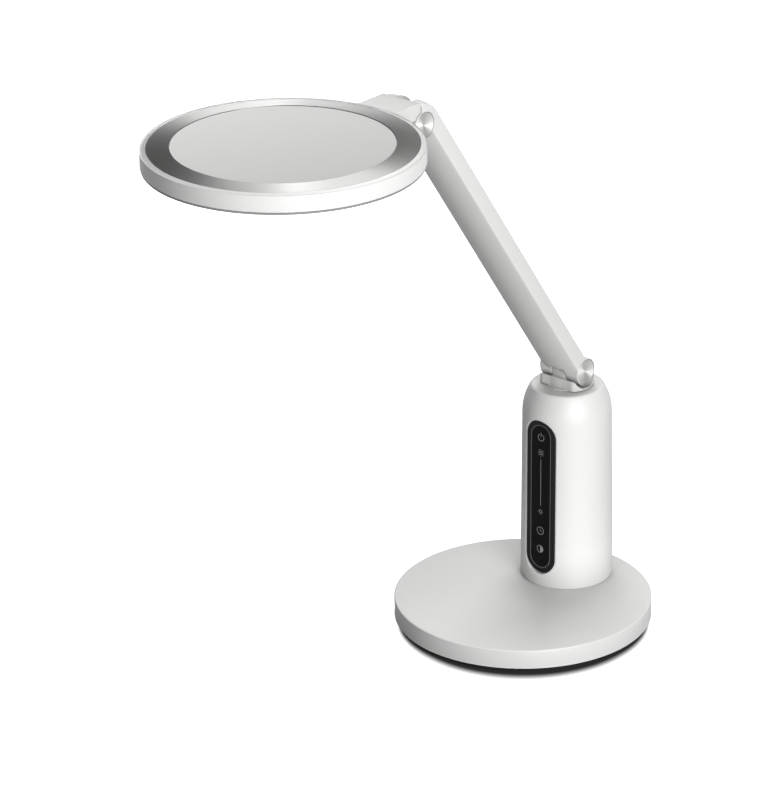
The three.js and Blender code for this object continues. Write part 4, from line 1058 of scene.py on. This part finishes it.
class LAMP_OT_panel(bpy.types.Operator):
    """Touch panel: a black frame, a gloss lens and generic touch icons printed on it."""

    bl_idname = "lamp.panel"
    bl_label = "Touch panel"

    def execute(self, context):
        outer = PANEL_WIDTH / 2 - SEAT_GAP
        lens_edge = PANEL_WIDTH / 2 - FRAME_WIDTH
        rebate = lens_edge - REBATE_WIDTH
        seat = LENS_THICKNESS + SEAT_GAP
        back = seat + REBATE_THICKNESS
        loops = rounded(
            [(outer, 0), (outer, back), (rebate, back), (rebate, seat), (lens_edge + SEAT_GAP, seat),
             (lens_edge + SEAT_GAP, 0)], {0: FRAME_EDGE, 5: LENS_EDGE}, 4)
        surround = panel_shell("panel_frame_moulding", loops, wrap=True)
        finish_piece(surround, finish("black_gloss"), "base", "black_plastic", "panel_frame")
        loops = rounded(disc(lens_edge, 0, LENS_THICKNESS), {1: LENS_EDGE}, 3)
        lens = panel_shell("touch_lens_window", loops)
        finish_piece(lens, finish("touch_black"), "base", "touch_black", "touch_lens")
        self.icons(context)
        return {"FINISHED"}

    def icons(self, context):
        """Ribbons with a small thickness laid on the lens: a border line, power, sun, slide line, small sun,
        clock and half-filled circle."""
        sizes = context.scene.lamp_sizes
        width, raise_by = sizes.line_width / MM, sizes.print_height / MM
        thin, thinner = 0.9 * width, 0.8 * width

        def ribbon(path, thick=width, closed=False):
            """A flat strip along a path of (side, height) points: four corners round each path point."""
            path = np.asarray(path, float)
            if closed:
                ahead, behind = np.roll(path, -1, 0), np.roll(path, 1, 0)
            else:
                ahead = np.concatenate([path[1:], path[-1:]])
                behind = np.concatenate([path[:1], path[:-1]])
            along = ahead - behind
            along /= np.linalg.norm(along, axis=1, keepdims=True)
            across = np.stack([-along[:, 1], along[:, 0]], -1) * thick / 2
            corners = []
            for sign, depth in ((1, -raise_by), (-1, -raise_by), (-1, PRINT_SINK), (1, PRINT_SINK)):
                edge = path + sign * across
                corners.append(on_panel(edge[:, 0], edge[:, 1], depth))
            return new_piece("stroke", np.stack(corners, 1), wrap=closed, ends=not closed)

        def part_circle(height, radius, start, end, thick=width, closed=False):
            """A circle's arc between two angles in degrees, or a whole circle if it is closed."""
            path = arc((0, height), (radius, radius), math.radians(start), math.radians(end), 49)
            return ribbon(path[:-1] if closed else path, thick, closed)

        def circle(height, radius, thick=width):
            """A whole circle on the lens."""
            return part_circle(height, radius, 0, 360, thick, closed=True)

        def line(height, start, end, thick=width):
            """A straight stroke between two points beside a place on the lens."""
            return ribbon(np.array([start, end]) + (0, height), thick)

        strokes = [
            part_circle(POWER_PLACE, POWER_RADIUS, 90 + POWER_GAP, 450 - POWER_GAP),
            line(POWER_PLACE, (0, POWER_STEM[0]), (0, POWER_STEM[1])),
            circle(SUN_PLACE, SUN_RADIUS),
            line(0, (0, SLIDE_TOP), (0, SLIDE_FOOT), thin),
            circle(DIM_PLACE, DIM_RADIUS, thinner),
            circle(CLOCK_PLACE, CLOCK_RADIUS),
            line(CLOCK_PLACE, (0, 0), CLOCK_MINUTE, thin),
            line(CLOCK_PLACE, (0, 0), CLOCK_HOUR, thin),
            part_circle(CONTRAST_PLACE, CONTRAST_RADIUS, 90, 270, thin),
        ]
        for turn in 2 * math.pi / RAYS * np.arange(RAYS):
            ray = np.array([math.cos(turn), math.sin(turn)])
            strokes.append(line(SUN_PLACE, SUN_RAYS[0] * ray, SUN_RAYS[1] * ray, thin))
            strokes.append(line(DIM_PLACE, DIM_RAYS[0] * ray, DIM_RAYS[1] * ray, thinner))
        levels = CONTRAST_PLACE + np.linspace(-CONTRAST_FILL, CONTRAST_FILL, 41)
        reach = np.sqrt(CONTRAST_RADIUS ** 2 - (levels - CONTRAST_PLACE) ** 2)
        filled = [on_panel(side * reach, levels, depth) for side, depth in (
            (0, -raise_by), (1, -raise_by), (1, PRINT_SINK), (0, PRINT_SINK))]
        strokes.append(new_piece("stroke", np.stack(filled, 1), ends=True))
        finish_piece(merge("touch_icons", strokes), finish("print"), "base", "touch_black")

        middle, direction = stadium(BORDER_HALF_WIDTH, BORDER_HALF_HEIGHT)
        path = BORDER_HALF_WIDTH * direction
        path[:, 1] += PANEL_MIDDLE + middle
        border = merge("touch_border", [ribbon(path, BORDER_LINE, closed=True)])
        finish_piece(border, finish("print_line"), "base", "touch_black")


def merge(name, pieces):
    """One object from several, as separate closed shells."""
    work = bmesh.new()
    for piece in pieces:
        work.from_mesh(piece.data)
        bpy.data.objects.remove(piece)
    mesh = bpy.data.meshes.new(name)
    work.to_mesh(mesh)
    work.free()
    mesh.set_sharp_from_angle(angle=math.radians(SMOOTH_ANGLE))
    whole = bpy.data.objects.new(name, mesh)
    bpy.context.scene.collection.objects.link(whole)
    return whole


class LAMP_OT_bracket(bpy.types.Operator):
    """Saddle bracket with the lower knuckle, lofted from side to side."""

    bl_idname = "lamp.bracket"
    bl_label = "Saddle bracket"

    def execute(self, context):
        corner_circle = SADDLE_RADIUS - SADDLE_CORNER
        corner_y = SADDLE_FRONT - SADDLE_CORNER
        corner_x = math.sqrt(corner_circle ** 2 - corner_y ** 2)
        end_turn = math.atan2(corner_y, corner_x)
        disc_x = SADDLE_RADIUS * math.cos(end_turn)

        def depth(x):
            """Half the saddle's depth at a place across it: flat, then a corner arc, then the disc."""
            x = abs(x)
            if x <= corner_x:
                return SADDLE_FRONT
            if x <= disc_x:
                return corner_y + math.sqrt(max(SADDLE_CORNER ** 2 - (x - corner_x) ** 2, 0))
            return math.sqrt(max(SADDLE_RADIUS ** 2 - x ** 2, 0))

        def top(y, floor):
            """Height of the saddle at a depth y: its flat top, cut down to a floor by the barrel's pocket."""
            pocket = HINGE_RISE - math.sqrt(max(POCKET_RADIUS ** 2 - y ** 2, 0))
            return min(SADDLE_RISE, max(floor, pocket)) if abs(y) < POCKET_RADIUS else SADDLE_RISE

        count, least, soft, share = SADDLE_STEPS, 0.02, SADDLE_EDGE, SADDLE_EDGE_SHARE

        def outline(x, knuckle, inset):
            """Loop of (y, height) at x: the top from front to back, then the underside. The walls draw in by
            the inset, and the top and the underside by a share of it."""
            reach = max(depth(x) - inset, least)
            bottom = SADDLE_UNDERSIDE + inset * share
            places = np.linspace(-reach, reach, count)
            if knuckle:
                radius = KNUCKLE_RADIUS - inset
                round_part = np.sqrt(np.clip(radius ** 2 - places ** 2, 0, None))
                heights = np.where(np.abs(places) < radius, HINGE_RISE + round_part, SADDLE_RISE)
            else:
                heights = np.array([top(y, SADDLE_FLOOR) for y in places]) - inset * share
            edge = np.clip((reach - np.abs(places)) / soft, 0, 1)
            heights = heights - soft * (1 - np.sqrt(1 - (1 - edge) ** 2)) * (heights > bottom + soft)
            heights = np.maximum(heights, bottom + least / 2)
            upper = np.stack([places, heights], -1)
            lower = np.stack([places[::-1], np.full(count, bottom)], -1)
            return np.concatenate([upper, lower])

        ends = SADDLE_RADIUS * np.sin(np.linspace(math.pi / 2, 0, 40))
        wing = [x for x in ends if x > KNUCKLE_HALF + KNUCKLE_EDGE] + [KNUCKLE_HALF]
        places = both_sides([(x, 0.0) for x in wing], rounded_end(KNUCKLE_HALF, KNUCKLE_EDGE, 4))
        bracket = skin("swivel_bracket_casting", outline, places, COLUMN_Y, COLUMN_TOP)
        carve(bracket, [knuckle_bore(*LOWER_HINGE)])
        finish_piece(bracket, finish("saddle_silver_painted_shade"), "swivel", "arm_silver", "swivel_bracket")
        return {"FINISHED"}


class LAMP_OT_arm(bpy.types.Operator):
    """Arm tube and both forks, lofted from side to side with rounded edges."""

    bl_idname = "lamp.arm"
    bl_label = "Arm and forks"

    def execute(self, context):
        sizes = context.scene.lamp_sizes
        edge, slot_edge = sizes.arm_edge / MM, sizes.slot_edge / MM
        outer = edge_places(ARM_HALF, edge)
        level = np.linspace(-ARM_HALF + edge, ARM_HALF - edge, 25)[1:-1]
        across = np.concatenate([-outer[::-1], level, outer])
        inset = edge_inset(across, ARM_HALF, edge)
        front = np.stack([across, -(ARM_SIDE + bulge(across, ARM_FRONT_BULGE) - inset)], -1)
        back = np.stack([across, ARM_SIDE + bulge(across, ARM_BACK_BULGE) - inset], -1)[::-1]
        outside = np.concatenate([front, back])
        share = (ARM_HALF - ARM_WALL) / ARM_HALF
        inside = np.stack([outside[:, 0] * share, outside[:, 1] - np.sign(outside[:, 1]) * ARM_WALL], -1)
        sections = (outside, LOWER_SEAM), (outside, UPPER_SEAM), (inside, UPPER_SEAM), (inside, LOWER_SEAM)
        rows = [along_arm(section[:, 1], along, section[:, 0]) for section, along in sections]
        tube = new_piece("arm_tube_profile", np.stack(rows), wrap=True, smooth=TUBE_SMOOTH)
        finish_piece(tube, finish("arm_silver"), "arm", "arm_silver", "arm_tube")

        places = mirrored_places(ARM_HALF, edge, SLOT_HALF, slot_edge)
        lower = loft("lower_fork_casting", lower_outline(edge, slot_edge), places)
        carve(lower, cap_recesses(*LOWER_HINGE))
        finish_piece(lower, finish("arm_silver"), "arm", "arm_silver", "lower_fork")
        upper = loft("upper_fork_casting", upper_outline(edge, slot_edge), places)
        carve(upper, cap_recesses(*UPPER_HINGE))
        finish_piece(upper, finish("arm_silver"), "arm", "arm_silver", "upper_fork")
        return {"FINISHED"}


def turn_map(piece, centre, axis):
    """A UV map whose U runs round the axis, so that its tangent follows the turned grooves: U is the angle
    over a full turn and V is ten times the distance from the axis in metres."""
    mesh = piece.data
    points = np.empty(len(mesh.vertices) * 3)
    mesh.vertices.foreach_get("co", points)
    points = points.reshape(-1, 3) - np.asarray(centre) * MM
    corner = np.empty(len(mesh.loops), int)
    mesh.loops.foreach_get("vertex_index", corner)
    face_of = np.repeat(np.arange(len(mesh.polygons)), [p.loop_total for p in mesh.polygons])
    one, two = (1, 2) if axis == 0 else (0, 1)
    angle = np.arctan2(points[:, two], points[:, one])[corner] / (2 * math.pi)
    largest = np.full(len(mesh.polygons), -1.0)
    np.maximum.at(largest, face_of, angle)
    angle = np.where(largest[face_of] - angle > 0.5, angle + 1.0, angle)
    radius = np.hypot(points[:, one], points[:, two])[corner] * 10.0
    layer = mesh.uv_layers.new(name="Turn")
    layer.data.foreach_set("uv", np.stack([angle, radius], -1).ravel())


class LAMP_OT_caps(bpy.types.Operator):
    """Four turned caps, dished towards the middle, in the ends of the two hinges."""

    bl_idname = "lamp.caps"
    bl_label = "Hinge caps"

    def execute(self, context):
        steps = context.scene.lamp_sizes.hinge_steps
        tone = tuple(context.scene.lamp_colours.cap)
        bowl, seat = CAP_RADIUS - CAP_RIM, CAP_FLOOR + CAP_SEAT
        dish = straight((0.0, CAP_FACE - CAP_DISH), (bowl, CAP_FACE - CAP_DISH), 9)
        dish[:, 1] += CAP_DISH * (dish[:, 0] / bowl) ** CAP_BOWL_POWER
        rim = rounded([dish[-1], (CAP_RADIUS, CAP_FACE), (CAP_RADIUS, seat), (0, seat)], {1: CAP_EDGE}, 3)[1:]
        for end, (y, z) in (("lower", LOWER_HINGE), ("upper", UPPER_HINGE)):
            metal = turned(f"turned cap {end}", tone, (0, y, z), (0.0, 1.0, 1.0), 0.12)
            for side, sign in (("left", -1), ("right", 1)):
                profile = np.concatenate([dish, rim]) * (1, sign)
                cap = new_piece(f"turned_cap_{end}_{side}", lathe_across(profile, steps, y, z))
                turn_map(cap, (0, y, z), 0)
                finish_piece(cap, metal, "arm", "turned_metal", f"{end}_cap_{side}")
        return {"FINISHED"}


class LAMP_OT_neck(bpy.types.Operator):
    """Neck between the upper hinge and the head, lofted from side to side."""

    bl_idname = "lamp.neck"
    bl_label = "Neck"

    def execute(self, context):
        tine_space = BARREL_RADIUS + KNUCKLE_GAP

        def outline(x, knuckle, inset):
            """Loop of (y, z) round the hinge: top, wall against the head, underside, then either the tine's
            space or the gusset and the knuckle, and the rear wall."""
            high, low, rear = NECK_TOP, NECK_BOTTOM, -NECK_REAR
            if not knuckle:
                high, low, rear = high - inset, low + inset, rear - inset
            face = -HEAD_REACH + math.sqrt((HEAD_RADIUS + SEAT_GAP) ** 2 - x ** 2)
            if knuckle:
                radius, start, whole_turn = KNUCKLE_RADIUS - inset, GUSSET_FOOT, 2 * math.pi
            else:
                radius, whole_turn = tine_space + inset, 0.0
                start = math.pi - math.asin(low / radius)
            circle = arc((0, 0), (radius, radius), start, math.acos(rear / radius) + whole_turn, 60)
            return np.concatenate([
                run((rear, high), 4, (face, high), 3, (face, low), 3, (-GUSSET_START, low), 9, circle[0]),
                circle,
                run(circle[-1], 9, (rear, high))[1:],
            ])

        wing = rounded_end(NECK_HALF, NECK_EDGE, 5)
        wing += [(x, 0.0) for x in np.linspace(NECK_HALF - NECK_EDGE, KNUCKLE_HALF, 8)[1:]]
        middle = rounded_end(KNUCKLE_HALF, KNUCKLE_EDGE, 5) + [(0.0, 0.0)]
        neck = skin("neck_casting", outline, both_sides(wing, middle), *UPPER_HINGE)
        carve(neck, [knuckle_bore(*UPPER_HINGE)])
        soften(neck, NECK_SOFT, NECK_SOFT_ANGLE)
        finish_piece(neck, finish("arm_silver"), "head", "arm_silver", "neck")
        return {"FINISHED"}


class LAMP_OT_head(bpy.types.Operator):
    """Head rim, trim ring, top cover, lower bezel ring and diffuser as fine turned shells."""

    bl_idname = "lamp.head"
    bl_label = "Head"

    def execute(self, context):
        sizes = context.scene.lamp_sizes
        steps = sizes.disc_steps
        wall = HEAD_RADIUS - RIM_WALL
        lip = HEAD_RADIUS - LIP_WIDTH
        rim_edge = sizes.rim_edge / MM
        loops = rounded(
            [(wall, -RIM_HEIGHT), (HEAD_RADIUS, -RIM_HEIGHT), (HEAD_RADIUS, 0), (lip, 0),
             (lip, -LIP_THICKNESS), (wall, -LIP_THICKNESS), (wall, LEDGE_TOP), (LEDGE_INNER, LEDGE_TOP),
             (LEDGE_INNER, SKIRT_BOTTOM), (LEDGE_INNER + INNER_SKIRT, SKIRT_BOTTOM),
             (LEDGE_INNER + INNER_SKIRT, LEDGE_BOTTOM), (wall, LEDGE_BOTTOM)],
            {**RIM_CORNERS, 2: rim_edge})
        rim = new_piece("head_rim_moulding", lathe(loops, steps, HEAD_CENTRE), wrap=True)
        finish_piece(rim, finish("rim_white"), "head", "rim_white", "head_rim")

        ring_inner, ring_outer = RING_INNER_TOP - RING_THICKNESS, RING_OUTER_TOP - RING_THICKNESS
        loops = rounded([(RING_INNER, ring_inner), (RING_OUTER, ring_outer), (RING_OUTER, RING_OUTER_TOP),
                         (RING_INNER, RING_INNER_TOP)], RING_CORNERS, 3)
        ring = new_piece("spun_trim_ring", lathe(loops, steps, HEAD_CENTRE), wrap=True)
        turn_map(ring, HEAD_CENTRE, 2)
        finish_piece(ring, finish("turned_metal"), "head", "turned_metal", "trim_ring")

        cover_edge = RING_INNER - SEAT_GAP
        inside, under = cover_edge - COVER_THICKNESS, COVER_TOP - COVER_THICKNESS
        loops = rounded(
            [(0, under), (inside, under), (inside, COVER_SKIRT), (RING_OUTER, COVER_SKIRT),
             (RING_OUTER, ring_outer - SEAT_GAP), (cover_edge, ring_inner - SEAT_GAP),
             (cover_edge, COVER_TOP), (0, COVER_TOP)], DISC_CORNERS, 3)
        cover = new_piece("top_cover_disc", lathe(loops, steps, HEAD_CENTRE))
        finish_piece(cover, finish("cover_white"), "head", "cover_white", "top_cover")

        top = -RIM_HEIGHT - SEAT_GAP
        outer = HEAD_RADIUS - SEAT_GAP
        bottom, upstand = top - BEZEL_THICKNESS, top + BEZEL_UPSTAND
        loops = rounded(
            [(outer - BEZEL_WIDTH, bottom), (outer, bottom), (outer, top), (wall - SEAT_GAP, top),
             (wall - SEAT_GAP, upstand), (outer - BEZEL_WIDTH, upstand)], BEZEL_CORNERS, 3)
        bezel = new_piece("bezel_ring_moulding", lathe(loops, steps, HEAD_CENTRE), wrap=True)
        finish_piece(bezel, finish("bezel_silver"), "head", "bezel_silver", "bezel_ring")

        loops = rounded(disc(wall - SEAT_GAP, DIFFUSER_BOTTOM, DIFFUSER_TOP), DIFFUSER_CORNERS, 3)
        opal = new_piece("opal_diffuser_sheet", lathe(loops, steps, HEAD_CENTRE))
        finish_piece(opal, finish("opal"), "head", "opal", "diffuser")
        return {"FINISHED"}


class LAMP_OT_frame_finishes(bpy.types.Operator):
    """Gives every node of the frame the finish of its slot, and plain metal to the turned ones, because they
    have no map for their grooves."""

    bl_idname = "lamp.frame_finishes"
    bl_label = "Frame finishes"

    def execute(self, context):
        slots = {part["node"]: part["material_slot"] for part in frame["record"]["subparts"]}
        for name, node in frame["nodes"].items():
            slot = "plain_aluminium" if slots[name] == "turned_metal" else slots[name]
            node.data.materials.clear()
            node.data.materials.append(finish(slot))
        return {"FINISHED"}


class LAMP_OT_stage(bpy.types.Operator):
    """Pale floor, soft lamps, world and the camera at the photograph's angle."""

    bl_idname = "lamp.stage"
    bl_label = "Studio"

    def execute(self, context):
        make_floor()
        make_world(context.scene)
        place_lamps(context.scene)
        place_camera(context.scene)
        context.scene.view_settings.view_transform = "Standard"
        return {"FINISHED"}


def make_floor():
    """A disc that is white for the camera, paler in a gloss than for the light that bounces off it, and dark
    where the foot stands on it with a painted contact shadow: that painted shadow fades over a width that
    grows towards one side."""
    floor = new_piece("studio_floor", lathe(disc(FLOOR_RADIUS, 0, -FLOOR_THICKNESS), FLOOR_STEPS))
    nodes = Finish("studio floor")
    nodes.tree.nodes.remove(nodes.shader)
    path = nodes.add("ShaderNodeLightPath").outputs
    direct = nodes.maths("MAXIMUM", path["Is Camera Ray"], path["Is Transmission Ray"])
    seen = nodes.maths("MAXIMUM", direct, path["Is Glossy Ray"])
    place = nodes.place()
    # Painted contact shadow: the floor's tone falls off towards the foot by distance from the middle
    distance = nodes.vector_maths("LENGTH", place, output="Value")
    ahead = nodes.vector_maths("DOT_PRODUCT", place, SHADE_SIDE, output="Value")
    cosine = nodes.maths("MAXIMUM", nodes.maths("DIVIDE", ahead, distance), NARROWEST_COSINE)
    start = nodes.ramp(cosine, SHADE_BESIDE, SHADE_FRONT, start=FRONT_COSINE)
    past = nodes.maths("DIVIDE", nodes.maths("SUBTRACT", distance, start), cosine)
    shade = nodes.ramp(past, SHADE_LEFT, 1.0, end=SHADE_WIDTH, interpolation_type="SMOOTHSTEP")
    tone = nodes.ramp(seen, BOUNCE_TONE, SEEN_TONE)
    grain = nodes.ramp(nodes.noise(place, 3.0), 0.99, 1.01)
    paint_tone = nodes.maths("MULTIPLY", nodes.maths("MULTIPLY", tone, grain), shade)
    diffuse = nodes.add("ShaderNodeBsdfDiffuse", {"Color": paint_tone})
    far = nodes.ramp(distance, MIRROR_LEAST, 1.0, start=MIRROR_NEAR, end=MIRROR_FAR)
    glossy = nodes.maths("MULTIPLY", path["Is Glossy Ray"], far)
    gain = nodes.maths("MULTIPLY", nodes.maths("MAXIMUM", direct, glossy), shade)
    glow = nodes.add("ShaderNodeEmission", {"Color": (1, 1, 1, 1), "Strength": gain})
    both = nodes.add("ShaderNodeAddShader", {0: diffuse.outputs[0], 1: glow.outputs[0]})
    nodes.put(nodes.tree.nodes["Material Output"], {"Surface": both.outputs[0]})
    floor.data.materials.append(nodes.material)
    floor.data.transform(Matrix.Translation((0, 0, -FLOOR_DROP * MM)))


def make_world(scene):
    """A dim even light from all around, and plain white where the camera looks past the floor."""
    world = bpy.data.worlds.new("studio")
    world.use_nodes = True
    tree = world.node_tree
    dim, white = tree.nodes["Background"], tree.nodes.new("ShaderNodeBackground")
    dim.inputs["Color"].default_value = (*scene.lamp_stage.world, 1.0)
    dim.inputs["Strength"].default_value = scene.lamp_stage.world_strength
    white.inputs["Color"].default_value = (1.0, 1.0, 1.0, 1.0)
    choice = tree.nodes.new("ShaderNodeMixShader")
    path = tree.nodes.new("ShaderNodeLightPath")
    for socket, end in enumerate((path.outputs["Is Camera Ray"], dim.outputs[0], white.outputs[0])):
        tree.links.new(end, choice.inputs[socket])
    tree.links.new(choice.outputs[0], tree.nodes["World Output"].inputs["Surface"])
    scene.world = world


def place_lamps(scene):
    """Round area lamps, each aimed at the object's middle from its azimuth, elevation and distance."""
    for name, azimuth, elevation, distance, diameter in LAMPS:
        data = bpy.data.lights.new(f"{name} lamp", "AREA")
        data.shape = "DISK"
        data.size = diameter
        data.energy = getattr(scene.lamp_stage, name)
        lamp = bpy.data.objects.new(f"{name} lamp", data)
        away = outward(azimuth, elevation)
        lamp.location = Vector(LAMP_AIM) + distance * away
        lamp.rotation_euler = away.to_track_quat("Z", "Y").to_euler()
        scene.collection.objects.link(lamp)


def outward(azimuth, elevation):
    """The direction away from the object at an azimuth from its front and an elevation, in degrees."""
    a, e = math.radians(azimuth), math.radians(elevation)
    return Vector((math.sin(a) * math.cos(e), -math.cos(a) * math.cos(e), math.sin(e)))


def place_camera(scene):
    """Camera from the fit of the photograph's ellipses: place, turn, tilt, roll and a long lens."""
    turn, roll = math.radians(CAMERA_TURN), math.radians(CAMERA_ROLL)
    back = outward(CAMERA_TURN, CAMERA_TILT)
    level_right = Vector((math.cos(turn), math.sin(turn), 0.0))
    level_up = back.cross(level_right)
    right = level_right * math.cos(roll) + level_up * math.sin(roll)
    up = level_up * math.cos(roll) - level_right * math.sin(roll)
    data = bpy.data.cameras.new("camera")
    data.sensor_fit = "AUTO"
    data.sensor_width = SENSOR
    data.lens = FOCAL_PIXELS / FRAME_PIXELS * SENSOR
    data.clip_end = 50.0
    camera = bpy.data.objects.new("camera", data)
    camera.matrix_world = Matrix.Translation(CAMERA_PLACE) @ Matrix((right, up, back)).transposed().to_4x4()
    scene.collection.objects.link(camera)
    scene.camera = camera


class LAMP_PT_panel(bpy.types.Panel):
    """Lists the lamp's operators and settings."""

    bl_idname = "LAMP_PT_panel"
    bl_label = "Led desk lamp"
    bl_space_type = "VIEW_3D"
    bl_region_type = "UI"
    bl_category = "Lamp"

    def draw(self, context):
        for operator in OPERATORS:
            self.layout.operator(operator.bl_idname)
        for group in (context.scene.lamp_sizes, context.scene.lamp_colours, context.scene.lamp_stage):
            for key in group.bl_rna.properties.keys():
                if key not in ("rna_type", "name"):
                    self.layout.prop(group, key)


OPERATORS = (LAMP_OT_base, LAMP_OT_column, LAMP_OT_panel, LAMP_OT_bracket, LAMP_OT_arm, LAMP_OT_caps,
             LAMP_OT_neck, LAMP_OT_head, LAMP_OT_frame_finishes, LAMP_OT_stage)
GROUPS = (LampSizes, LampColours, LampStage)


def register():
    """Registers the settings, operators and panel."""
    for item in (*GROUPS, *OPERATORS, LAMP_PT_panel):
        bpy.utils.register_class(item)
    bpy.types.Scene.lamp_sizes = PointerProperty(type=LampSizes)
    bpy.types.Scene.lamp_colours = PointerProperty(type=LampColours)
    bpy.types.Scene.lamp_stage = PointerProperty(type=LampStage)


def unregister():
    """Removes what register added."""
    del bpy.types.Scene.lamp_sizes
    del bpy.types.Scene.lamp_colours
    del bpy.types.Scene.lamp_stage
    for item in reversed((*GROUPS, *OPERATORS, LAMP_PT_panel)):
        bpy.utils.unregister_class(item)


def main():
    """Builds the whole lamp."""
    register()
    for operator in OPERATORS:
        group, name = operator.bl_idname.split(".")
        getattr(getattr(bpy.ops, group), name)()


if __name__ == "__main__":
    main()
